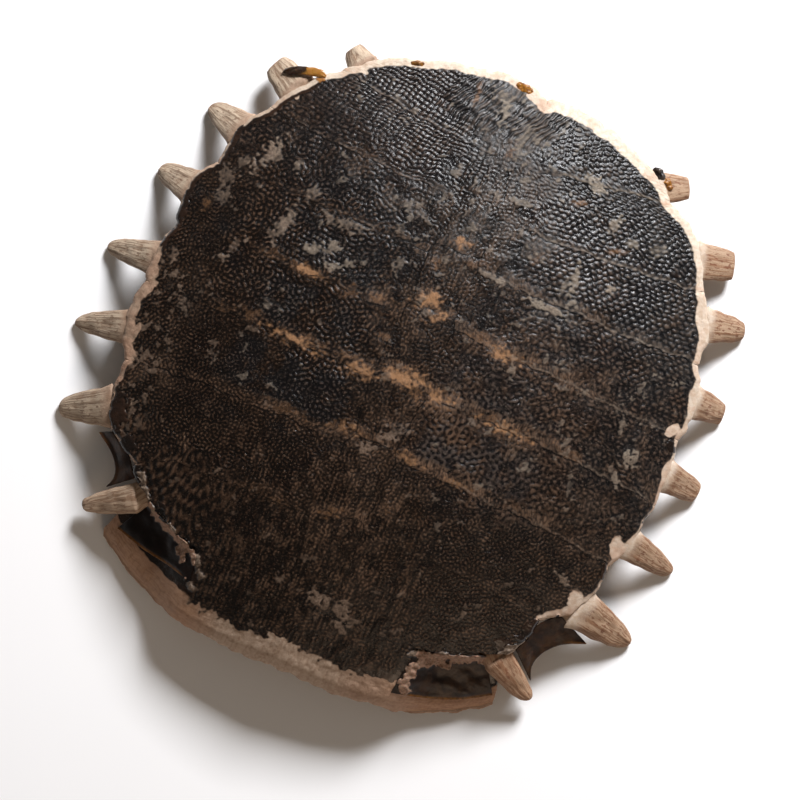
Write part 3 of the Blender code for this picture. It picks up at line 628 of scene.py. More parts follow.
# ---------------------------------------------------------------- the sculptured surface
def lengths(plan):
    """Distances along a plan grid at each of its points: from the first row, to the last, and by column."""
    du, dv = (np.cumsum(np.linalg.norm(np.diff(plan, axis=axis), axis=2), axis=axis) for axis in (0, 1))
    du, dv = np.pad(du, ((1, 0), (0, 0))), np.pad(dv, ((0, 0), (1, 0)))
    return du, du[-1:] - du, dv, dv[:, -1:] - dv


def amplitude(x, y):
    """Height of the beads: strong towards the tail and the animal's left, faint on the outer right."""
    along = (-40, -27, -15, 0, 10, 20, 27, 34, 44)
    heights = (0.046, 0.052, 0.058, 0.054, 0.044, 0.042, 0.068, 0.104, 0.122)
    high = np.interp(0.95 * y + 0.2 * x, along, heights)
    high = high + 0.010 * smooth(-5, -12, x) * smooth(-38, -31, x) * smooth(-8, 2, y) * smooth(30, 20, y)
    front = smooth(-18, -24, y)
    high = high + front * (0.042 * smooth(-10, -20, x) - 0.012 * smooth(-6, 6, x))
    high = high * (1 + 0.6 * smooth(9, 4, abs(x - 1)) * smooth(0, 10, y) * smooth(40, 32, y))
    return high * (1 + 0.2 * at(N_MID, x + 31, y))


def beads(a, c, pitch):
    """Staggered beads in rows along a, from about -0.7 to 1.4."""
    p, q = a * (2 * math.pi / (1.6 * pitch)), c * (math.pi / pitch)
    return (np.cos(2 * q) + 2 * np.cos(p) * np.cos(q)) / 2.2


def sculpture(x, y, a, c, fan):
    """Beads, pits and ridges, from -1 to 1. a and c are distances along and across the bone.

    fan is the share of ridges that run across the bone.
    """
    tail = smooth(14, 34, y + 0.3 * x)
    loose = 1 - 0.72 * tail
    warp_a = loose * (0.28 * at(B_3, x + 7, y) + 0.09 * at(B_13, x, y + 5))
    warp_c = loose * (0.20 * at(B_3B, x, y + 9) + 0.08 * at(B_13B, x + 5, y))
    coarse = smooth(-5, -12, x) * smooth(-38, -31, x) * smooth(-8, 2, y) * smooth(32, 24, y)
    pitted = 0.15 - 1.0 * np.tanh(1.5 * (at(NET_WIDE, x, y) - 0.42))  # round pits with ridges between them
    bumps = np.tanh(1.5 * (at(NET, x, y) - 0.45))
    net = bumps + (pitted - bumps) * smooth(-2, 5, x) * smooth(34, 28, x)
    across = (
        np.cos((a + 1.6 * warp_a) * (2 * math.pi / 0.95))
        + 0.3 * np.cos((c + 2 * warp_c) * (2 * math.pi / 1.7))
    )
    staggered = beads(a + warp_a, c + warp_c, 0.78)
    pits = (
        -0.62 * np.cos((a + warp_a) * (2 * math.pi / 0.90))
        - 0.62 * np.cos((c + warp_c) * (2 * math.pi / 0.80))
    )
    square = np.where(x < 0, 0.9 * tail * smooth(-4, 4, -x), 0.0)
    rows = staggered + (pits + 0.25 - staggered) * square
    rows = (0.75 + 0.3 * tail) * (rows * (1 - fan) + across * fan) + 0.42 * loose * net
    small = np.tanh(1.6 * (at(NET_FINE, x, y) - 0.5))
    worm = np.tanh(1.1 * at(WORM, x + 0.3 * warp_a, y))
    drift = 3 * at(N_MID, x, y)
    w_rows = smooth(-6, 10, y + 0.45 * x + drift) * np.maximum(smooth(4, 9, abs(x)), smooth(30, 38, y))
    w_small = np.maximum(smooth(14, 24, -x + 0.15 * y + drift) * smooth(26, 14, y), smooth(-8, -14, y + drift))
    w_small = np.maximum(w_small, 0.7 * smooth(9, 4, abs(x)) * smooth(38, 30, y))
    w_worm = smooth(-23, -28, y + 0.7 * drift) * smooth(-9, -19, x + 0.5 * drift)
    w_small = w_small * (1 - w_worm)
    w_rows = w_rows * (1 - w_small) * (1 - w_worm)
    w_rows, w_small = w_rows * (1 - 0.7 * coarse), w_small * (1 - coarse)
    w_net = np.clip(1 - w_rows - w_small - w_worm, 0, 1)
    ridge = rows * w_rows + net * w_net + small * 0.8 * w_small + worm * 0.85 * w_worm
    fibre = 0.7 * smooth(24, 13, abs(x + 2)) * smooth(-12, -21, y + drift)  # long threads towards the neck
    fibre = np.maximum(fibre, 0.55 * smooth(11, 6, abs(x - 2)) * smooth(8, 15, y) * smooth(44, 38, y))
    threads = np.tanh(at(STRIA, 0.8 * x, 0.9 * y) + 0.5 * at(WORM, x, y))
    ridge = ridge * (1 - fibre) + fibre * (0.5 * small + 0.7 * threads - 0.1)
    return np.clip(ridge, -1.3, 1.4) + 0.10 * at(B_07, x + 11, y)


def at_rib(x, y):
    """1 where a rib end leaves the rim."""
    near = np.zeros(x.shape)
    for side, sign in SIGN.items():
        for (rx, ry), wide, *_ in RIBS[side]:
            near = np.maximum(near, smooth(0.62, 0.3, np.hypot(x - sign * rx, y - ry) / wide))
    return near


def surface(x, y, a, c, band, notch, edge, fan=0.0, lip=FAR):
    """Height over the dome and the surface values at plan points.

    band: 0..1 where the smooth growth band is; notch: distance to the next suture; edge: distance to the rim;
    lip: distance behind the suture in front.
    """
    relief = sculpture(x, y, a, c, fan)
    pale = blobs(x, y, PALE, 0.42, 0.5) * (0.92 + 0.12 * at(N_SMALL, x + 44, y))
    crust = crusts(x, y)
    tan = blobs(x, y, TAN, 0.4, 0.95)
    film = blobs(x, y, FILM, 0.25) * (1 - crust)
    amber = blobs(x, y, AMBER, 0.2)
    margin = np.where(x < 0, *(np.interp(y, *zip(*MARGIN[side])) for side in ("right", "left")))
    calm = 1 - 0.65 * np.maximum(smooth(24, 34, y), smooth(28, 36, x))
    ragged = calm * (0.06 * at(B_13, x + 3, y) + 0.13 * at(B_3, x, y + 5) * np.minimum(1, margin))
    inside = edge - margin - ragged
    bare = smooth(0.42, -0.42, inside - 0.08 * calm * relief * smooth(0.2, 1.0, margin))
    bare = np.maximum(bare, blobs(x, y, COLLAR, 0.05, 0.3))
    rim_dark = smooth(0.6, 0.1, abs(inside - 0.3)) * smooth(-6, 4, -x - 36 + 0.2 * y) * 0.7
    film = np.maximum(film, rim_dark * smooth(-30, -20, y) * smooth(1.3, 0.6, margin))
    # mottling: browner and smoother along the middle and the growth bands, dark in the middle of each bone
    middle = smooth(12, 3, abs(x - 0.06 * y) + 1.8 * at(N_MID, x, y)) * smooth(-34, -22, y)
    cloud = 0.8 * at(N_MID, x + 17, y + 3) + 0.5 * at(N_SMALL, x, y)
    mottle = smooth(0.1, 2.0, cloud + 0.9 * band + 1.1 * middle)
    sides = smooth(8, 12, abs(x - 3))
    mottle = np.maximum(mottle, smooth(14, 34, y) * smooth(0.2, 1.6, cloud + 0.4) * (1 - 0.8 * sides))
    wear = np.clip(0.8 * mottle + 0.8 * band * smooth(-2.4, 0.2, at(N_SMALL, x + 9, y)), 0, 1)
    beside = np.exp(-(((notch - 0.32) / 0.2) ** 2))
    wear = np.maximum(wear, 0.4 * beside * smooth(-1.5, 1, at(N_SMALL, x + 5, y)))
    outer = smooth(29, 35, -x) * smooth(-32, -25, y) * smooth(16, 6, y)
    outer = outer + 0.8 * smooth(27, 35, x) * smooth(-34, -27, y) * smooth(12, 2, y)
    wear = np.maximum(wear, outer * smooth(-1.4, 1.2, cloud))
    core = smooth(1.0, 2.6, notch) * smooth(4, 8, abs(x)) * smooth(37, 29, abs(x))
    core = core * smooth(-0.9, 0.5, at(N_MID, x + 61, y) + 0.4)  # the dark middle of each bone
    quiet = smooth(-7, -13, x) * smooth(-16, -10, y) * smooth(26, 20, y) + sides * smooth(24, 32, y)
    spots = at(N_SMALL, x, y + 71)
    round_cores = 0.42 * (1 - core) * smooth(-28, -16, y) * smooth(-1.8, 0.4, spots) * (1 - 0.75 * quiet)
    in_front = (0.34 + 0.3 * smooth(22, 12, abs(x))) * smooth(-14, -22, y)
    in_front = in_front * smooth(-1.0, 1.2, spots + 0.6 * at(N_MID, x + 90, y))
    wear = np.maximum(np.maximum(wear, round_cores), in_front) * (1 - 0.45 * quiet)
    patchy = at(N_MID, x + 40, y + 12) + 0.6 * at(N_SMALL, x, y + 8)
    tan = np.maximum(tan, 0.5 * band * smooth(-0.2, 1.6, patchy))
    tan = tan * (1 - bare)
    patches = 0.75 * smooth(32, 37, -x) * smooth(-30, -24, y) * smooth(6, 0, y)
    patches = patches * smooth(0.5, 1.3, at(N_SMALL, x + 81, y) + 0.4 * at(B_13, x, y + 81))
    pale = np.maximum(np.maximum(pale, crust), patches)
    often = 0.8 * smooth(11, 5, abs(x - 2)) * smooth(4, 12, y)
    specks = smooth(1.8 - often, 2.5 - often, at(N_SMALL, x + 23, y + 2) + 0.5 * at(N_MID, x, y + 31))
    pale = np.maximum(pale, 0.6 * specks)
    height = amplitude(x, y) * relief
    for cover, share in ((band, 0.75), (wear, 0.2), (pale, 0.75), (tan, 0.5), (film, 0.85), (bare, 0.85)):
        height = height * (1 - share * cover)
    height += 0.05 * at(N_MID, x, y + 60) + 0.06 * np.maximum(pale - crust, 0) + 0.20 * film - 0.04 * bare
    height += 0.22 * amber
    height += crust * (0.26 + 0.07 * at(B_13, x + 70, y) + 0.03 * at(B_07, x, y + 70))
    height += 0.012 * at(B_13, x + 70, y) * bare
    height -= 0.02 * np.exp(-((notch / 0.6) ** 2))
    # the dark line of a suture comes and goes, and a pale worn ridge follows behind it
    seam = 0.8 * np.exp(-((notch / 0.08) ** 2)) * (1 - bare)
    seam = seam * smooth(-1.3, 0.9, at(N_MID, x + 51, y) + at(N_SMALL, x, y + 51))
    left = smooth(4, 12, x)
    broken = at(N_SMALL, x + 5, y) + 0.05 * (y + 0.6 * x)
    ridge = smooth(0.12, 0.3, lip) * smooth(1.1, 0.3, lip) * smooth(-0.9 * left, 1.2 - 0.4 * left, broken)
    ridge = ridge * smooth(5, 10, abs(x))
    pale = np.maximum(pale, (0.40 + 0.14 * left) * ridge)
    wear = np.maximum(wear, 0.9 * ridge)
    wear, tan, pale = wear * (1 - seam), tan * (1 - 0.8 * seam), pale * (1 - 0.5 * seam)
    relief = relief * (1 - seam) - 1.3 * seam
    roll = np.clip(1 - edge / 0.5, 0, 1)
    height -= 0.34 * (1 - np.sqrt(np.maximum(0.0, 1 - roll**2))) * (1 - 0.75 * at_rib(x, y))
    # tint by place, partly painted light: it rises towards the tail and the animal's left, the key lamp's side,
    # giving lit and shaded copies of each colour; it also carries the greyer tail, the dark cores, the crusts
    # and the bare bone
    cool = np.clip(0.25 + 0.018 * (y * 0.9 + x * 0.45) + 0.12 * at(N_MID, x + 3, y + 44), 0, 1)
    cool = np.maximum(cool, 0.75 * core * smooth(-20, -10, y) * smooth(31, 22, abs(x)))
    cool = np.maximum(cool, 0.30 * crust)
    cool = np.maximum(cool, bare * smooth(-12, 2, x + 0.35 * y) * 0.9)
    values = dict(
        relief=np.clip(relief, -1.2, 1.4) * (1 - 0.6 * np.maximum(bare, pale)), wear=wear, pale=pale, tan=tan,
        bare=bare, film=np.clip(film, 0, 1), amber=amber, cool=cool,
    )
    return height, values


# ---------------------------------------------------------------- pieces
def plan_size(front, rear, inner, outer):
    spans = [float(np.linalg.norm(np.diff(p, axis=0), axis=1).sum()) for p in (front, rear, inner, outer)]
    return steps(max(spans[:2])), steps(max(spans[2:]))


def costal_plan(side, k):
    s = SIGN[side]

    def curves(nu, nv):
        u, v = np.linspace(0, 1, nu + 1), np.linspace(0, 1, nv + 1)
        front = suture(side, k, u)
        if k < LAST:
            rear = suture(side, k + 1, u)
            y = front[0, 1] + (rear[0, 1] - front[0, 1]) * v
            inner = np.stack([s * neural_side(y), y], -1)
            inner[0], inner[-1] = front[0], rear[0]
            return front, rear, inner, bulged(front[-1], rear[-1], RIM_SWELL[side][k], v, (s, 0.15 * (k - 3)))
        rear = tail_rim(side, u)
        y0 = SUTURES[side][LAST][0]
        y = y0 + (TAIL_NOTCH[1] - y0) * v
        x = TAIL_NOTCH[0] * smooth(LAST_NEURAL, TAIL_NOTCH[1], y)
        x = x + s * TAIL_NEURAL * np.maximum(0.0, (LAST_NEURAL - y) / (LAST_NEURAL - y0))
        return front, rear, np.stack([x, y], -1), line(front[-1], rear[-1], v)

    sizes = plan_size(*curves(60, 60))
    return coons(*curves(*sizes))


def fitted(plan):
    """The plan after waviness, with its outline drawn in by half the crack."""
    plan = wavy(plan)
    ring = ring_of(plan)
    plan[ring] -= outward(plan[ring]) * (CRACK / 2)
    return plan


def costal(side, k, mat):
    s = SIGN[side]
    shape = Shape()
    plan = fitted(costal_plan(side, k))
    x, y = plan[..., 0], plan[..., 1]
    from_in, to_out, from_front, to_rear = lengths(plan)
    edge = rim_distance(x, y)
    notch = np.minimum(from_front, from_in)
    if k < LAST:
        notch = np.minimum(notch, to_rear)
    reach = smooth(1.0, 0.35, from_in / (from_in + to_out))
    width = BAND_WIDTH[k] * (0.75 + 0.25 * reach) + 0.35 * at(N_SMALL, x, y + 14)
    band = BANDS[k] * (0.35 + 0.65 * reach) * smooth(width + 0.5, width - 0.5, from_front)
    if k < LAST:
        band = np.maximum(band, 0.35 * BANDS[k + 1] * reach * smooth(0.9, 0.2, to_rear))
    fan = 0.0
    if k == LAST:
        inner = smooth(16, 11, from_in) if side == "right" else smooth(8, 4, from_in)
        fan = inner * smooth(1.5, 4.0, from_front) * smooth(0.3, 1.2, edge)
    rows_from = from_front if k < LAST or side == "right" else -to_rear
    height, values = surface(x, y, from_in, rows_from + 3.1 * k, band, notch, edge, fan, from_front)
    free = smooth(0.5, 0.15, edge[ring_of(plan)])
    flow = np.stack([from_in, from_front], -1)
    plate(
        shape, plan, dome(x, y) + height, lambda px, py: dome(px, py) - plate_depth(px, py), values, flow, free
    )
    for px, py, a, b, high, turn, amber in KNOBS.get((side, k), []):
        knob(shape, px, py, a, b, high, turn, amber)
    rib(shape, side, k)
    return shape.make(f"bone.costal_{side}_{k + 1}", mat, "bone", f"costal_{side}_{k + 1}")


def knob(shape, x, y, a, b, high, turn, amber):
    """A low lump on the rim."""
    c, s = math.cos(math.radians(turn)), math.sin(math.radians(turn))
    t = np.linspace(-0.97, 0.97, 24)
    size = np.sqrt(1 - t**2)
    px, py = x + a * t * c, y + a * t * s
    centre = columns(px, py, dome(px, py) - 0.12)
    wide, tall = columns(-s * b * size, c * b * size, 0.0), columns(0.0, 0.0, high * size)

    def lumps(u, v):
        return 0.06 * at(B_13, u + x, v) + 0.03 * at(B_07, u, v + y)

    tube(shape, centre, wide, tall, 26, lumps, wear=0.5, film=0.5 * (1 - amber), amber=amber, cool=0.8)


def rib_knots(side, k, joint):
    """Rows of |x|, y, width, thickness and depth into the plate, along the rib under its costal."""
    if k == LAST:
        return [(5.5, 39.6, 2.2, 1.5, -0.9), (12, 41.2, 2.8, 1.6, 0.25), (19.5, 42.3, 3.4, 1.7, 0.35)]
    if k == 0:
        outer_y = -31.6 if side == "right" else -32.8
        return [
            (7.5, -35.0, 2.4, 1.6, -0.2),
            (14, -32.6, 3.6, RIB_BODY, 0.2),
            (27.3, outer_y, 4.0, RIB_BODY, 0.3),
        ]
    (rx, ry), root_w, *_ = RIBS[side][k]

    def middle(t):
        return float((suture(side, k, t)[1] + suture(side, k + 1, t)[1]) / 2)

    return [
        (7.6, joint + 0.72 * (middle(0.1) - joint), 2.6, 1.6, -0.2), (13.0, middle(0.27), 3.8, RIB_BODY, 0.2),
        (rx * 0.62, middle(0.6), 4.4, RIB_BODY, 0.3),
        (rx - 4.5, 0.5 * middle(0.88) + 0.5 * ry, 0.94 * root_w, RIB_BODY, 0.35),
    ]


def rib_under(side, k, across):
    """The rib inside the rim, in rows: middle x, y, z, width, thickness, x and y of the width's direction."""
    s = SIGN[side]
    (rx, ry), root_w, *_ = RIBS[side][k]
    joint = min(SUTURES[side][k][0] + NEURAL_STEP if k else -37.0, 37.5)
    head_z = float(dome(0, joint)) - HEAD_Z_DROP
    ahead = math.copysign(1.0, across[1])
    rows = [(s * RIB_HEAD[0], joint + 0.1, head_z, RIB_HEAD[1], HEAD_THICK, 0.0, ahead)]
    for x, y, w, t, sink in rib_knots(side, k, joint):
        rows.append((s * x, y, float(dome(s * x, y) - plate_depth(s * x, y)) + sink, w, t, *across))
    rows.append((s * rx, ry, float(dome(rx, ry)) - 1.45, root_w, 2.0, *across))
    rows = spline(rows, 32)[:-1]
    # its body stays inside the plate
    to_root = np.hypot(rows[:, 0] - s * rx, rows[:, 1] - ry)
    cap = dome(rows[:, 0], rows[:, 1]) - np.interp(to_root, (0, 2.5), (0.5, 0.95))
    low = rows[:, 2] - rows[:, 4] / 2
    high = np.minimum(rows[:, 2] + rows[:, 4] / 2, cap)
    rows[:, 2], rows[:, 4] = (low + high) / 2, high - low
    return rows


def rib_end(side, k, out, reach, across):
    """The free end, from just inside the rim: each row's share of the way, and rows as in rib_under."""
    s, blunt = SIGN[side], BLUNT[side][k]
    (rx, ry), root_w, (tx, ty), tip_w, tip_t, foot = RIBS[side][k]
    g = np.linspace(0, 1, RIB_RINGS) ** 0.92
    tip_top = tip_t - 0.3 if foot else float(dome(tx * 0.985, ty)) - 0.35
    root_top = float(dome(rx, ry)) - 0.17
    slope = float(dome(rx + 0.2, ry) - dome(rx - 0.2, ry)) / 0.4 * reach
    fall = (2 * g**3 - 3 * g**2 + 1) * root_top + (g**3 - 2 * g**2 + g) * slope
    fall += (3 * g**2 - 2 * g**3) * tip_top + (g**3 - g**2) * slope * 0.9
    w = tip_w + (root_w - tip_w) * np.interp(g, (0, 0.34, 0.72, 1), (1, 0.82, 0.49, 0.0))
    w = w * (1 + (0.14 if k else 0.0) * np.exp(-g / 0.10))
    start = 0.86 + 0.08 * blunt  # where the tip starts to close
    close = np.sqrt(np.maximum(0.0, 1 - np.clip((g - start) / (1 - start), 0, 1) ** 2))
    w = w * (0.16 + 0.84 * close)
    thick = tip_t + (RIB_BODY - 0.1 - tip_t) * (1 - g)
    # the tail side of a rib end is the straighter one
    lean = (0.10 - 0.22 * blunt) * math.copysign(1.0, across[1]) * s
    off = lean * (root_w - w) * 0.9
    x = s * rx + out[0] * reach * g + across[0] * off
    y = ry + out[1] * reach * g + across[1] * off
    return g, columns(x, y, fall - thick / 2, w, thick * (0.3 + 0.7 * close), *across)


def rib(shape, side, k):
    """The rib of a costal, from its head beside the vertebra to its free end."""
    s, blunt = SIGN[side], BLUNT[side][k]
    (rx, ry), _, (tx, ty), *_ = RIBS[side][k]
    out = np.array([s * (tx - rx), ty - ry])
    reach = float(np.linalg.norm(out))
    out /= reach
    across = (-out[1], out[0])
    under = rib_under(side, k, across)
    station, end = rib_end(side, k, out, reach, across)
    station = np.concatenate([np.zeros(len(under)), station])
    rows = np.concatenate([under, end])
    # a rib curves down towards its tip, so its thickness stays square to its run
    run = np.gradient(rows[:, :3], axis=0)
    wide = np.column_stack([rows[:, 5:7], np.zeros(len(rows))])
    wide /= np.linalg.norm(wide, axis=1, keepdims=True)
    run /= np.linalg.norm(run, axis=1, keepdims=True)
    high = np.cross(run, wide)
    high *= np.sign(high[:, 2:3])
    high = high * 0.6 + np.array([0, 0, 0.4])
    high[:, 2] = np.maximum(high[:, 2], 0.5)
    salt = 17.0 * k + (60 if side == "left" else 0)  # moves the noise, so that no two ribs are alike

    def swell(around, along):
        strong = smooth(0.10, 0.34, station)[:, None]
        grooves = at(STRIA, around * 1.2 + salt, along + salt)
        rough = at(B_3, around + salt, along) * 0.035
        crumbs = abs(at(B_07, around * 0.8 + salt, along * 0.8))
        chips = -0.12 * blunt * smooth(0.84, 1.0, station)[:, None] * crumbs
        return np.clip(grooves, -2, 2) * 0.034 * strong + rough + chips

    def striped(along):
        return smooth(0.04, 0.24, station) if k else smooth(-0.2, 0.05, station)

    def stained(along):
        return 0.35 * np.maximum(smooth(0.88, 1.0, station), k == 0)

    # each side's ribs take their own copy of each colour: partly their own colour, partly painted light and
    # shade
    tube(
        shape, rows[:, :3], wide * rows[:, 3:4] / 2, high * rows[:, 4:5] / 2, RIB_SIDES, swell, 0.86,
        bare=1.0, wear=0.25, rib=striped, cool=0.5 + 0.5 * s, tan=stained,
    )


def neural(k, mat):
    shape = Shape()
    m = mids()
    y0 = m[0] if k == 0 else m[k] + NEURAL_STEP
    y1 = m[k + 1] + NEURAL_STEP if k < 6 else LAST_NEURAL
    nu, nv = steps(2 * NEURAL_WIDE), steps(y1 - y0)
    v = np.linspace(0, 1, nv + 1)
    ys = y0 + (y1 - y0) * v
    sides = {s: np.stack([s * neural_side(ys), ys], -1) for s in (-1, 1)}
    u = np.linspace(0, 1, nu + 1)
    front, rear = (line(sides[-1][end], sides[1][end], u) for end in (0, -1))
    plan = fitted(coons(front, rear, sides[-1], sides[1]))
    x, y = plan[..., 0], plan[..., 1]
    from_right, to_left, from_front, to_rear = lengths(plan)
    notch = np.minimum(np.minimum(from_right, to_left), np.minimum(from_front, to_rear))
    band = NEURAL_BANDS[k] * smooth(2.2, 0.6, from_front + 0.5 * at(N_SMALL, x, y))
    height, values = surface(x, y, from_right, from_front + 5.3 * k, band, notch, np.full(x.shape, FAR))
    flow = np.stack([from_right, from_front], -1)
    free = np.zeros(2 * (nu + nv))
    plate(shape, plan, dome(x, y) + height, lambda px, py: dome(px, py) - PLATE, values, flow, free)
    vertebra_under(shape, y0 - 1.6 if k == 0 else y0, min(y1, VERTEBRA_END))
    return shape.make(f"bone.neural_{k + 1}", mat, "bone", f"neural_{k + 1}")


def body_of_vertebra(shape, a, b, scale, drop):
    """The waisted body of a vertebra from y = a to b."""
    f = np.array([0.0, 0.06, 0.14, 0.5, 0.86, 0.94, 1.0])
    r = np.array([0.9, 1.0, 0.97, BODY_MID / BODY_END, 0.97, 1.0, 0.88]) * BODY_END * scale
    y = a + (b - a) * f
    rows = spline(columns(y, dome(0, y) - HEAD_Z_DROP - drop, r), 30)
    y, z, r = rows.T
    wide, high = columns(r, 0.0, 0.0), columns(0.0, 0.0, r * 0.82)

    def lumps(u, v):
        return 0.05 * at(B_13, u + a, v)

    tube(shape, columns(0.0, y, z), wide, high, 28, lumps, bare=1.0, wear=0.6, cool=0.4)


def arch_wall(shape, s, x, ys, tops, lows, half):
    """One wall of a vertebra's arch, up to the plate."""
    n = 12
    y, tops, lows = spline(columns(ys, tops, lows), n).T
    wide = columns(half * np.interp(np.arange(n), (0, 3, 8, 11), (0.75, 1, 1, 0.75)), 0.0, 0.0)
    high = columns(0.0, 0.0, (tops - lows) / 2)

    def lumps(u, v):
        return 0.03 * at(B_13, u + s, v + x)

    tube(shape, columns(s * x, y, (tops + lows) / 2), wide, high, 20, lumps, 0.45, bare=1.0, wear=0.6, cool=0.4)


def vertebra_under(shape, y0, y1):
    """Vertebra grown together with the neural plate over it."""
    a, b = y0 + CAD_GAP / 2, y1 - CAD_GAP / 2
    length = b - a
    ys = np.array([a + 0.26 * length, (a + b) / 2, b - 0.26 * length])
    for s in (-1, 1):
        arch_wall(
            shape, s, (ARCH_OUT + ARCH_IN) / 2, ys,
            dome(0, ys) - PLATE + 0.35, dome(0, ys) - HEAD_Z_DROP - 0.2, 0.5,
        )
    body_of_vertebra(shape, a, b, 1.0, 0.45)


def tail_vertebra(n, mat):
    shape = Shape()
    y0, y1 = TAIL_VERTEBRAE[n]
    a, b = y0 + CAD_GAP / 2, y1 - CAD_GAP / 2
    scale = 0.84 - 0.14 * n
    body_of_vertebra(shape, a, b, scale * 0.98, 0.3)
    middle, quarter = (a + b) / 2, (b - a) * 0.22
    ys = np.array([middle - quarter, middle, middle + quarter])
    for s in (-1, 1):
        tops = dome(0, ys) - PLATE - CAD_GAP - 0.05
        arch_wall(shape, s, 1.35 * scale, ys, tops, dome(0, ys) - HEAD_Z_DROP - 0.2, 0.45)
    return shape.make(f"bone.vertebra_{n + 8}", mat, "bone", f"vertebra_{n + 8}")


def nuchal_front(x):
    reach, back, power = NUCHAL_SWEEP
    return NUCHAL_FRONT + back * (abs(x) / reach) ** power + 0.35 * np.exp(-((x / 6.0) ** 2))


def nuchal_back(x):
    out = np.zeros(x.shape)
    for side, mine in (("right", x < 0), ("left", x >= 0)):
        y0, y1, x1, power = SUTURES[side][0]
        t = np.maximum(0.0, (abs(x) - FIRST_NEURAL) / (x1 - FIRST_NEURAL))
        out = np.where(mine, y0 + (y1 - y0) * t**power, out)
    return out


def nuchal_top(x, y):
    drop = WING_DROP * smooth(WING_FROM + 2.5, WING_TO, abs(x))
    return dome(x, y) - drop - 0.8 * smooth(2.2, 0.0, y - nuchal_front(x)) ** 2


def nuchal(mat):
    shape = Shape()

    def curves(nu, nv):
        u, v = np.linspace(0, 1, nu + 1), np.linspace(0, 1, nv + 1)
        xb, xf = NUCHAL_HALF * (2 * u - 1) * 0.925, NUCHAL_HALF * (2 * u - 1)
        back = np.stack([xb, nuchal_back(xb) - RIB_CLEAR * smooth(21.5, 27.5, abs(xb))], -1)
        front = np.stack([xf, nuchal_front(xf)], -1)
        ends = []
        for s, n in ((-1, 0), (1, -1)):
            end = line(front[n], back[n], v)
            end[:, 0] += s * 0.9 * np.sin(math.pi * v)
            ends.append(end)
        return front, back, ends[0], ends[1]

    plan = fitted(coons(*curves(*plan_size(*curves(60, 60)))))
    x, y = plan[..., 0], plan[..., 1]
    from_right, to_left, from_front, to_back = lengths(plan)
    edge = np.minimum(from_front, np.minimum(from_right, to_left) + 0.2)
    notch = np.where(abs(x) < 20, to_back, FAR)
    height, values = surface(x, y, x, y, np.zeros(x.shape), notch, np.full(x.shape, FAR))
    # the sculpture stops at a ragged line, and in front of it the margin is bare
    limit = 4.4 + 0.35 * at(N_SMALL, x * 0.8, y + 8) + 0.12 * at(B_13, x, y) + 1.2 * smooth(10, 22, x)
    limit = limit - 0.6 * smooth(6, 16, -x)
    bare = smooth(0.5, -0.7, from_front - limit)  # bare in front of the limit
    grey = smooth(15, 8, abs(x + 1.5))
    inward = from_front - limit
    uneven = at(STRIA, from_front, x) + at(N_SMALL, x, y)
    streak = smooth(2.4, 0.2, abs(inward + 0.3)) * smooth(-0.2, 1.3, uneven)
    # dried skin at the pockets, and a strip of it along the animal's left
    pocket = smooth(15.6, 19.2, abs(x) - 2.4 * (x > 0) + 0.5 * at(B_3, x, y))
    pocket = pocket * smooth(0.6, 1.4, from_front - np.where(x > 0, 2.2, 3.4))
    strip = smooth(0.5, -0.5, inward - 1.7 * smooth(7, 20, x)) * smooth(-0.8, 0.1, inward) * smooth(6, 9, x)
    pocket = np.maximum(pocket, strip)
    crust = crusts(x, y)
    bare = np.maximum(bare, smooth(15.5, 18.5, -x) * smooth(6.4, 5.2, from_front)) * (1 - crust)
    film = pocket * (1 - crust)
    values["bare"] = bare * (1 - film)
    values["film"] = film
    flakes = 0.5 * streak * grey * (1 - film) * (1 - bare * 0.3)
    values["pale"] = np.maximum(values["pale"] * (1 - bare), flakes)
    rust = smooth(9, 24, -x + 2 * at(N_MID, x, y)) * 0.75 + smooth(14, 25, x + at(N_MID, x, y))
    values["tan"] = np.clip(bare * rust, 0, 1) * (1 - 0.5 * streak * grey)
    values["wear"] = np.where(bare > 0.5, 0.6 - 0.35 * grey, values["wear"])
    amber_line = smooth(0.6, 0.1, abs(from_front - 2.4)) * smooth(16, 20, x) * 0.5
    values["amber"] = np.maximum(values["amber"], amber_line)
    values["cool"] = np.where(bare > 0.5, 0.16 + 0.26 * grey, values["cool"])
    values["rib"] = 0.03 * bare
    height = height * (1 - 0.9 * bare) * (1 - 0.8 * film) + 0.004 * at(STRIA, from_front * 0.9, x) * bare
    lip = 0.05 * (1 - bare) * (1 - film) * smooth(1.2, 0.0, from_front - limit)
    height += 0.03 * at(N_SMALL, x, y) * bare + lip
    height -= 0.06 * bare
    top = nuchal_top(x, y) + height
    top = top - 0.3 * (1 - np.sqrt(np.maximum(0.0, 1 - np.clip(1 - edge / 0.6, 0, 1) ** 2)))

    def bottom(px, py):
        drop = WING_DROP * smooth(WING_FROM, WING_TO, abs(px))
        depth = WING_PLATE + (2.6 - WING_PLATE) * (1 - smooth(WING_FROM, WING_TO, abs(px)))
        return dome(px, py) - drop - depth + 0.55 * smooth(1.6, 0.0, py - nuchal_front(px))

    free = smooth(0.6, 0.2, edge[ring_of(plan)])
    flow = np.stack([from_front, x], -1)
    plate(shape, plan, top, bottom, values, flow, free)
    return shape.make("bone.nuchal", mat, "bone", "nuchal")


def skin_plan(a, b, nu, nv):
    """Plan grid between two edges given by a few points each."""
    a, b = spline(a, nu + 1), spline(b, nu + 1)
    v = np.linspace(0, 1, nv + 1)
    return coons(a, b, line(a[0], b[0], v), line(a[-1], b[-1], v))


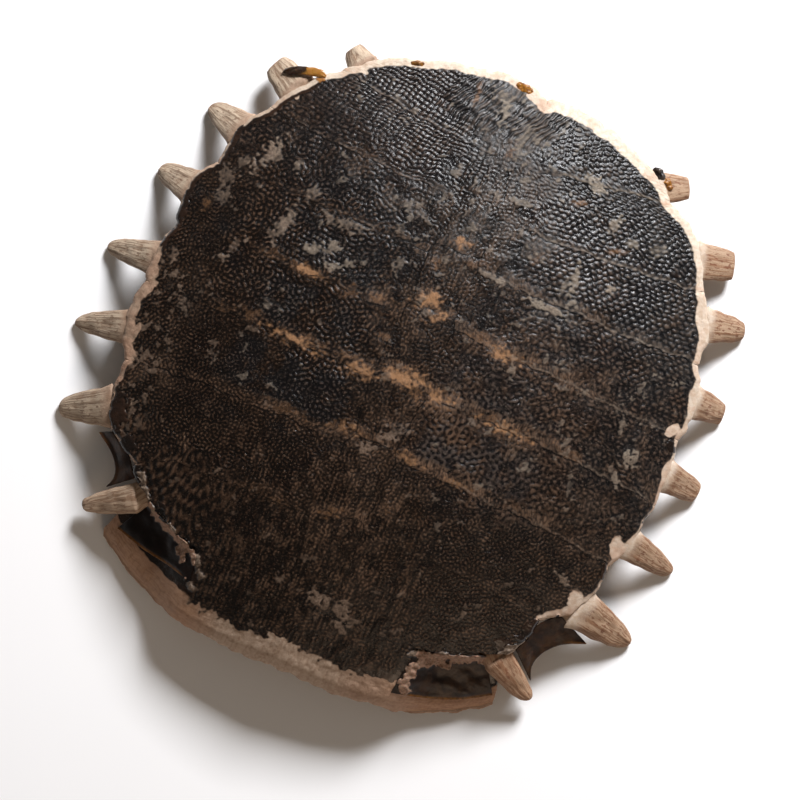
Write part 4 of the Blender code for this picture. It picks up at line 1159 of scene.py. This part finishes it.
def skin_pocket(side, mat):
    """Dried skin that fills the step between nuchal bone, first costal and first rib."""
    shape = Shape()
    s = SIGN[side]
    tail, neck = (np.array(points) * (s, 1.0) for points in POCKET[side])
    y0, y1, x1, power = SUTURES[side][0]
    t = (abs(tail[:, 0]) + np.linspace(0, 0.5, 4) - FIRST_NEURAL) / (x1 - FIRST_NEURAL)
    # up to the costal's edge
    tail = np.column_stack([s * (FIRST_NEURAL + (x1 - FIRST_NEURAL) * t), y0 + (y1 - y0) * t**power - 0.12])
    plan = skin_plan(tail, neck, steps(16), steps(7))
    x, y = plan[..., 0], plan[..., 1]
    from_in, to_out, from_tail, to_neck = lengths(plan)

    def below(px, py):
        """Depth in plan behind the edge of the first costal."""
        return np.maximum(0.0, nuchal_back(px) - py)

    def low(px, py):
        step = dome(px, py) - nuchal_top(px, py)
        return nuchal_top(px, py) + 0.08 + (step - 0.7) * smooth(1.1, 0.15, below(px, py))

    step = dome(x, y) - nuchal_top(x, y)
    crust = crusts(x, y)
    top = nuchal_top(x, y) + 0.36 + (step - 0.46) * smooth(1.5, 0.1, below(x, y))
    folds = 0.05 * at(B_3, x, y) + 0.10 * np.sin(from_tail * 1.5 + 0.6 * at(N_MID, x, y))
    top += (folds - 0.2 * smooth(0.7, 0.0, to_neck)) * smooth(0.0, 0.9, np.minimum(from_tail, to_neck + 0.3))
    top = low(x, y) + (top - low(x, y)) * (0.08 + 0.92 * smooth(0.0, 3.2, from_in))
    top += crust * (0.24 + 0.07 * at(B_13, x + 70, y) + 0.03 * at(B_07, x, y + 70))
    # the right pocket's skin is near black, partly its own colour and partly painted shade in the recess under
    # the costal's edge; the left one turns brown away from its inner end
    values = dict(
        film=1.0, pale=crust, amber=smooth(0.8, 0.0, to_neck) * smooth(0.5, 2.5, from_in) * 0.8,
        wear=0.0 if side == "right" else 0.85 * smooth(1.5, 4.5, from_in),
        relief=at(B_13, x, y) * 0.3, cool=0.4,
    )
    free = np.full(2 * (plan.shape[0] + plan.shape[1] - 2), 0.3)
    plate(shape, plan, np.maximum(top, low(x, y) + 0.05), low, values, np.stack([from_in, from_tail], -1), free)
    return shape.make(f"skin.{side}_pocket", mat, "dried_skin", f"skin_{side}_pocket")


def skin_web(side, mat):
    """Dried skin stretched between the first and second rib ends, with a concave free edge."""
    shape = Shape()
    held, free_edge = (np.array(points) * (SIGN[side], 1.0) for points in WEB_EDGES[side])
    gap = np.linalg.norm(held[:, None] - RIM[None], axis=2)
    nearest = RIM[gap.argmin(1)]
    held = nearest + (held - nearest) / gap.min(1)[:, None] * 0.14  # up to the plates' rim
    plan = skin_plan(held, free_edge, steps(14), steps(5))
    x, y = plan[..., 0], plan[..., 1]
    from_end, to_end, from_in, to_free = lengths(plan)
    share = from_in / (from_in + to_free)

    def height(px, py, edge_share):
        return dome(px, py) - 0.42 - 0.75 * np.sin(math.pi / 2 * np.clip(edge_share, 0, 1)) ** 1.5

    def low(px, py):
        flat = np.hypot(px[..., None] - RIM[:, 0], py[..., None] - RIM[:, 1]).min(-1)
        return height(px, py, flat / 2.6) - 0.3

    top = height(x, y, share) + 0.05 * at(B_3, x, y) + 0.10 * smooth(0.7, 0.1, to_free)
    values = dict(
        film=1.0, wear=0.9, amber=0.12 + 0.6 * smooth(0.8, 0.0, to_free) * smooth(5.0, 1.0, to_end),
        relief=at(B_13, x, y) * 0.3, cool=0.4,
    )
    free = np.full(2 * (plan.shape[0] + plan.shape[1] - 2), 0.6)
    plate(shape, plan, np.maximum(top, low(x, y) + 0.12), low, values, np.stack([from_end, from_in], -1), free)
    return shape.make(f"skin.{side}_web", mat, "dried_skin", f"skin_{side}_web")


def cartilage(mat):
    """A crust of dried cartilage lying along the tail side of the seventh right rib end."""
    shape = Shape()
    start, end = np.array([-30.0, 38.6]), np.array([-36.7, 36.8])
    rows = []
    for f, w, t in ((0.0, 0.4, 0.3), (0.2, 1.1, 0.5), (0.5, 1.3, 0.6), (0.8, 1.4, 0.65), (1.0, 0.6, 0.4)):
        x, y = start + (end - start) * f
        rows.append((x, y + 0.5 * math.sin(math.pi * f), float(dome(x, y)) + 0.05 + t / 2, w, t))
    rows = spline(rows, 56)
    wide, high = columns(0.16 * rows[:, 3], 0.60 * rows[:, 3], 0.0), columns(0.0, 0.0, rows[:, 4] / 2)

    def lumps(u, v):
        return 0.03 * at(B_13, u + 4, v + 2) + 0.07 * at(B_3, u, v)

    tube(shape, rows[:, :3], wide, high, 40, lumps, amber=lambda along: smooth(4.6, 2.6, along), film=1.0)
    return shape.make("cartilage.right_7", mat, "dried_cartilage", "cartilage_right_7")


# ---------------------------------------------------------------- materials
class Nodes:
    """Short ways to build a node tree."""

    def __init__(self, name):
        self.mat = bpy.data.materials.new(name)
        self.mat.use_nodes = True
        self.tree = self.mat.node_tree
        self.shader = self.tree.nodes["Principled BSDF"]

    def new(self, kind, **settings):
        node = self.tree.nodes.new(kind)
        for key, value in settings.items():
            setattr(node, key, value)
        return node

    def put(self, socket, value):
        if isinstance(value, bpy.types.NodeSocket):
            self.tree.links.new(value, socket)
        elif isinstance(value, tuple) and len(value) == 3 and socket.type == "RGBA":
            socket.default_value = (*value, 1.0)
        else:
            socket.default_value = value

    def value(self, name):
        return self.new("ShaderNodeAttribute", attribute_name=name).outputs["Fac"]

    def vector(self, name):
        return self.new("ShaderNodeAttribute", attribute_name=name).outputs["Vector"]

    def math(self, op, a, b):
        node = self.new("ShaderNodeMath", operation=op)
        self.put(node.inputs[0], a)
        self.put(node.inputs[1], b)
        return node.outputs[0]

    def add(self, a, b):
        return self.math("ADD", a, b)

    def times(self, a, b):
        return self.math("MULTIPLY", a, b)

    def varied(self, base, noise, share, middle=0.5):
        """The base, raised and lowered by a share of a noise about its middle value."""
        return self.add(base, self.times(self.math("SUBTRACT", noise, middle), share))

    def step(self, a, b, value, low=0.0, high=1.0):
        node = self.new("ShaderNodeMapRange", interpolation_type="SMOOTHSTEP")
        for socket, x in zip(node.inputs, (value, a, b, low, high)):
            self.put(socket, x)
        return node.outputs[0]

    def mix(self, fac, a, b):
        node = self.new("ShaderNodeMix", data_type="RGBA")
        for socket, x in zip((node.inputs["Factor"], node.inputs[6], node.inputs[7]), (fac, a, b)):
            self.put(socket, x)
        return node.outputs[2]

    def over(self, colour, cover, a, b, value, most=1.0):
        """The colour, with as much as most of the cover on it as the value goes from a to b."""
        return self.mix(self.step(a, b, value, 0.0, most), colour, cover)

    def bump(self, distance, strength, height):
        node = self.new("ShaderNodeBump")
        node.inputs["Distance"].default_value = distance
        self.put(node.inputs["Strength"], strength)
        self.put(node.inputs["Height"], height)
        self.put(self.shader.inputs["Normal"], node.outputs[0])

    def scaled(self, vector, factor):
        node = self.new("ShaderNodeVectorMath", operation="MULTIPLY")
        self.put(node.inputs[0], vector)
        node.inputs[1].default_value = factor
        return node.outputs[0]

    def noise(self, vector, scale, detail, rough, warp=0.0):
        node = self.new("ShaderNodeTexNoise")
        self.put(node.inputs["Vector"], vector)
        for name, value in (("Scale", scale), ("Detail", detail), ("Roughness", rough), ("Distortion", warp)):
            node.inputs[name].default_value = value
        return node.outputs["Fac"]

    def place(self):
        """Object coordinates in mm."""
        return self.scaled(self.new("ShaderNodeTexCoord").outputs["Object"], (1000.0, 1000.0, 1000.0))

    def done(self, colour, rough, **fixed):
        """Link colour and roughness, set the sockets that are the same all over, and return the material."""
        self.put(self.shader.inputs["Base Color"], colour)
        self.put(self.shader.inputs["Roughness"], rough)
        for name, value in fixed.items():
            self.shader.inputs[SOCKETS[name]].default_value = value
        return self.mat


SOCKETS = {"specular": "Specular IOR Level", "subsurface": "Subsurface Weight", "depth": "Subsurface Scale"}


def bone_material():
    """Dark sculptured bone, worn, stained and scaly, with bare bone, dried skin and gristle by channel, and
    painted light and shade by relief and by place.
    """
    n = Nodes("bone_sculptured")
    mm, flow = n.place(), n.vector("flow")
    relief, wear, pale, tan, bare, film, amber, cool, rib = (n.value(c) for c in CHANNELS)
    fine, grit = n.noise(mm, 3.2, 4, 0.6), n.noise(mm, 7.5, 3, 0.6)
    broad, soft = n.noise(mm, 0.22, 4, 0.6, 0.6), n.noise(mm, 1.1, 4, 0.6, 0.4)
    dust, pins = n.noise(mm, 2.3, 3, 0.7), n.noise(mm, 4.2, 2, 0.5)
    lines = n.noise(n.scaled(flow, (3.6, 0.34, 1.0)), 1.0, 3, 0.6)
    thread = n.noise(n.scaled(flow, (2.7, 0.10, 1.0)), 1.0, 4, 0.65)
    dash = n.noise(n.scaled(flow, (3.0, 0.8, 1.0)), 1.0, 2, 0.6)
    both = n.add(fine, grit)

    # Two copies of a colour, mixed by place: partly the bone's own change of colour towards the tail, partly
    # painted light and shade for the side the key lamp falls on.
    def tint_and_light_tone(warm, cold):
        return n.mix(cool, warm, cold)

    # dark sculpture, with painted shade in the pits and lighter crests, the tips partly worn and partly a
    # painted highlight
    relief_light_and_shade = n.step(-0.55, 1.15, n.varied(relief, fine, 1.2))
    pit_painted_shade = tint_and_light_tone((0.0026, 0.0014, 0.0010), (0.0032, 0.0032, 0.0038))
    dark = n.mix(relief_light_and_shade, pit_painted_shade, tint_and_light_tone((0.0300, 0.0150, 0.0084), (0.0195, 0.0172, 0.0170)))
    tip_wear_and_highlight = n.varied(relief, fine, 0.9)
    dark = n.over(dark, tint_and_light_tone((0.110, 0.066, 0.043), (0.046, 0.041, 0.039)), 0.45, 1.05, tip_wear_and_highlight, 0.7)
    earth = n.mix(relief_light_and_shade, (0.007, 0.0037, 0.0021), (0.056, 0.030, 0.017))
    dark = n.mix(n.times(n.step(0.42, 0.72, broad, 0.0, 0.8), n.math("SUBTRACT", 1.0, cool)), dark, earth)
    # worn surface between the ridges
    worn = tint_and_light_tone((0.132, 0.076, 0.046), (0.084, 0.060, 0.044))
    worn = n.over(worn, (0.017, 0.0098, 0.0062), 0.42, 0.60, lines, 0.85)
    # painted shade: the worn colour darkens where the relief is low
    worn = n.over(worn, (0.0075, 0.0045, 0.0031), 0.3, -0.8, relief, 0.85)
    worn = n.over(worn, tint_and_light_tone((0.010, 0.0055, 0.0035), (0.012, 0.0095, 0.008)), 0.50, 0.62, grit, 0.7)
    edge = n.add(n.varied(wear, both, 0.9, 1.0), n.times(relief, 0.22))
    colour = n.over(dark, worn, 0.1, 1.1, edge, 0.85)
    colour = n.over(colour, tint_and_light_tone((0.130, 0.088, 0.060), (0.130, 0.112, 0.092)), 0.64, 0.72, pins, 0.6)
    colour = n.over(colour, tint_and_light_tone((0.105, 0.062, 0.040), (0.100, 0.080, 0.062)), 0.63, 0.72, dust, 0.55)
    # orange brown stains, palest at heart
    stain = n.over((0.200, 0.112, 0.054), (0.085, 0.044, 0.020), 0.35, 0.7, lines)
    stain = n.mix(n.step(0.5, 0.95, tan, 0.5, 0.0), stain, (0.175, 0.072, 0.022))
    stain = n.over(stain, (0.33, 0.165, 0.074), 0.45, 1.1, n.varied(tan, n.add(fine, lines), 0.8, 1.0), 0.68)
    colour = n.over(colour, stain, 0.1, 1.25, n.varied(tan, both, 0.9, 1.0), 0.95)
    # pale scale
    scale = tint_and_light_tone((0.170, 0.114, 0.078), (0.210, 0.172, 0.130))
    scale = n.over(scale, tint_and_light_tone((0.050, 0.031, 0.020), (0.085, 0.066, 0.050)), 0.4, 0.62, fine, 0.75)
    edge = n.add(n.varied(pale, fine, 0.8), n.times(relief, 0.20))
    colour = n.over(colour, scale, 0.2, 0.95, edge, 0.88)
    # bare bone of rim, rib ends and underside
    light = tint_and_light_tone((0.34, 0.240, 0.168), (0.52, 0.445, 0.36))
    shade = tint_and_light_tone((0.20, 0.14, 0.095), (0.44, 0.34, 0.25))
    bone = n.over(light, shade, 0.38, 0.68, soft)
    bone = n.mix(n.times(wear, 0.6), bone, (0.37, 0.195, 0.122))
    bone = n.over(bone, tint_and_light_tone((0.18, 0.12, 0.08), (0.34, 0.25, 0.175)), 0.45, 0.7, grit, 0.45)
    # striped rib ends
    striped = tint_and_light_tone((0.42, 0.325, 0.235), (0.310, 0.208, 0.134))
    striped = n.over(striped, tint_and_light_tone((0.17, 0.110, 0.070), (0.17, 0.074, 0.034)), 0.49, 0.58, thread, 0.8)
    striped = n.over(striped, tint_and_light_tone((0.170, 0.105, 0.066), (0.120, 0.040, 0.018)), 0.56, 0.61, dash, 0.8)
    bone = n.mix(rib, bone, striped)
    bone = n.mix(n.times(tan, 0.7), bone, n.over((0.40, 0.215, 0.115), (0.24, 0.110, 0.055), 0.4, 0.65, lines))
    # painted shade: bare bone darkens in the hollows of the relief, the rib ends' grooves among them
    bone = n.over(bone, (0.18, 0.10, 0.055), -0.2, -1.2, relief, 0.45)
    colour = n.over(colour, bone, 0.25, 0.75, n.varied(bare, fine, 0.3))
    # glossy dried skin and amber gristle
    black = n.over((0.010, 0.0065, 0.005), (0.026, 0.013, 0.008), 0.4, 0.7, broad)
    colour = n.over(colour, black, 0.3, 0.7, n.varied(film, fine, 0.3))
    gum = n.over((0.30, 0.125, 0.018), (0.09, 0.028, 0.008), 0.35, 0.7, fine)
    colour = n.over(colour, gum, 0.35, 0.75, amber, 0.95)
    # gloss: the tail is the glossiest where it isn't worn
    rough = n.math("SUBTRACT", n.step(0.3, 0.7, grit, 0.23, 0.29), n.step(0.62, 1.0, cool, 0.0, 0.08))
    rough = n.add(rough, n.times(n.math("MAXIMUM", n.math("MAXIMUM", pale, tan), bare), 0.34))
    rough = n.add(rough, n.times(wear, n.step(0.6, 1.0, cool, 0.07, 0.38)))
    mixed = n.new("ShaderNodeMix", data_type="FLOAT")
    n.put(mixed.inputs["Factor"], n.math("MAXIMUM", n.step(0.3, 0.7, film), n.times(amber, 0.8)))
    n.put(mixed.inputs[2], rough)
    n.put(mixed.inputs[3], n.step(0.3, 0.7, fine, 0.16, 0.3))
    grain = n.add(n.add(n.times(fine, 0.6), n.times(grit, 0.4)), n.times(thread, rib))
    grain = n.add(grain, n.times(n.times(lines, wear), 0.4))
    n.bump(0.00012, n.step(0.2, 0.8, film, 0.75, 0.2), grain)
    return n.done(colour, mixed.outputs[0], specular=0.3)


def skin_material():
    n = Nodes("skin_dried")
    mm = n.place()
    amber, pale, relief = n.value("amber"), n.value("pale"), n.value("relief")
    fine, broad = n.noise(mm, 2.4, 4, 0.6), n.noise(mm, 0.5, 3, 0.6, 0.5)
    black = n.over((0.0040, 0.0018, 0.0014), (0.010, 0.0046, 0.0030), 0.35, 0.7, broad)
    brown = n.over((0.014, 0.0068, 0.0046), (0.046, 0.022, 0.010), 0.35, 0.7, broad)
    gum = n.over((0.25, 0.105, 0.018), (0.085, 0.030, 0.008), 0.35, 0.7, fine)
    colour = n.over(n.mix(n.value("wear"), black, brown), gum, 0.2, 1.0, amber, 0.9)
    crust = n.over((0.30, 0.190, 0.132), (0.15, 0.090, 0.062), 0.4, 0.65, fine)
    colour = n.over(colour, crust, 0.3, 0.7, pale)
    n.bump(0.0001, 0.5, n.add(fine, n.times(relief, 0.3)))
    rough = n.add(n.step(0.3, 0.7, fine, 0.30, 0.42), n.times(pale, 0.4))
    return n.done(colour, rough, specular=0.2, subsurface=0.12, depth=0.0008)


def cartilage_material():
    n = Nodes("cartilage_dried")
    mm = n.place()
    fine, broad = n.noise(mm, 2.0, 4, 0.6), n.noise(mm, 0.7, 3, 0.6, 0.8)
    orange = n.varied(n.value("amber"), broad, 1.6)
    colour = n.over((0.020, 0.0095, 0.005), (0.26, 0.115, 0.020), 0.25, 0.8, orange)
    colour = n.over(colour, (0.34, 0.17, 0.045), 0.55, 0.75, fine, 0.3)
    n.bump(0.00012, 0.6, fine)
    return n.done(colour, n.step(0.3, 0.7, fine, 0.22, 0.42), subsurface=0.15, depth=0.0008)


def floor_material():
    n = Nodes("floor_pale")
    shade = n.noise(n.place(), 0.02, 3, 0.5)
    return n.done(n.mix(shade, (0.83, 0.83, 0.83), (0.86, 0.86, 0.86)), 0.85, specular=0.2)


# ---------------------------------------------------------------- stage
IMAGE_TURN = math.radians(23.5)  # the camera's right points this far towards the tail from +X
RIGHT = np.array([math.cos(IMAGE_TURN), math.sin(IMAGE_TURN), 0.0])
UP = np.array([-math.sin(IMAGE_TURN), math.cos(IMAGE_TURN), 0.0])
FRAME_WIDTH = 0.126  # across the picture at the height of the rim
LENS, SENSOR = 180.0, 36.0


def stage():
    """A round floor that curves up far behind the object."""
    rings, spokes = 60, 96
    r = np.concatenate([np.linspace(0, 1.2, 12), np.linspace(1.25, 3.0, rings - 12)])
    z = np.where(r > 1.2, 0.42 * (r - 1.2) ** 2, 0.0)
    a = 2 * math.pi * np.arange(spokes) / spokes
    points = np.stack([r[:, None] * np.cos(a), r[:, None] * np.sin(a), z[:, None] + 0 * a], -1).reshape(-1, 3)
    index = np.arange(rings * spokes).reshape(rings, spokes)
    quads = cells_of(np.column_stack([index, index[:, 0]]))
    mesh = bpy.data.meshes.new("floor")
    mesh.from_pydata(points.tolist(), [], quads.tolist())
    mesh.polygons.foreach_set("use_smooth", np.ones(len(mesh.polygons), bool))
    mesh.update()
    floor = bpy.data.objects.new("floor", mesh)
    floor.location.z = -0.00005
    bpy.context.scene.collection.objects.link(floor)
    mesh.materials.append(floor_material())


def area_light(name, direction, distance, size, watts, colour, target=(0.0, 0.0, 0.008)):
    light = bpy.data.lights.new(name, "AREA")
    light.shape = "RECTANGLE"
    light.size, light.size_y = size
    light.energy, light.color = watts, colour
    obj = bpy.data.objects.new(name, light)
    direction = np.array(direction) / np.linalg.norm(direction)
    obj.location = np.array(target) + direction * distance
    obj.rotation_euler = Vector(-direction).to_track_quat("-Z", "Y").to_euler()
    bpy.context.scene.collection.objects.link(obj)


def lights():
    key = RIGHT * 0.46 + UP * 0.80 + np.array([0, 0, 0.55])
    area_light("key", key, 0.62, (0.18, 0.18), 9.2, (0.985, 0.99, 1.02))
    fill = RIGHT * 0.22 - UP * 0.97 + np.array([0, 0, 0.50])
    area_light("fill", fill, 1.2, (0.5, 0.5), 2.7, (1.0, 0.74, 0.53))
    world = bpy.data.worlds.new("studio")
    bpy.context.scene.world = world
    world.use_nodes = True
    background = world.node_tree.nodes["Background"]
    background.inputs["Color"].default_value = (1.0, 0.90, 0.80, 1.0)
    background.inputs["Strength"].default_value = 0.13


def camera():
    """A long lens that looks straight down, as the photograph does, turned by IMAGE_TURN."""
    data = bpy.data.cameras.new("camera")
    data.lens, data.sensor_width = LENS, SENSOR
    data.clip_start, data.clip_end = 0.05, 20.0
    obj = bpy.data.objects.new("camera", data)
    distance = FRAME_WIDTH / 2 / math.tan(math.atan(SENSOR / 2 / LENS))
    centre = RIGHT * -0.00047 + UP * -0.0035 + np.array([0, 0, 0.007])
    place = centre + np.array([0, 0, distance])
    rows = Matrix((
        (RIGHT[0], UP[0], 0.0, place[0]),
        (RIGHT[1], UP[1], 0.0, place[1]),
        (0.0, 0.0, 1.0, place[2]),
        (0.0, 0.0, 0.0, 1.0),
    ))
    obj.matrix_world = rows
    bpy.context.scene.collection.objects.link(obj)
    bpy.context.scene.camera = obj


def main():
    bone, skin, gristle = bone_material(), skin_material(), cartilage_material()
    nuchal(bone)
    for k in range(7):
        neural(k, bone)
    for n in range(2):
        tail_vertebra(n, bone)
    for side in ("right", "left"):
        for k in range(8):
            costal(side, k, bone)
        skin_pocket(side, skin)
        skin_web(side, skin)
    cartilage(gristle)
    stage()
    lights()
    camera()
    bpy.context.scene.view_settings.view_transform = "Standard"


main()
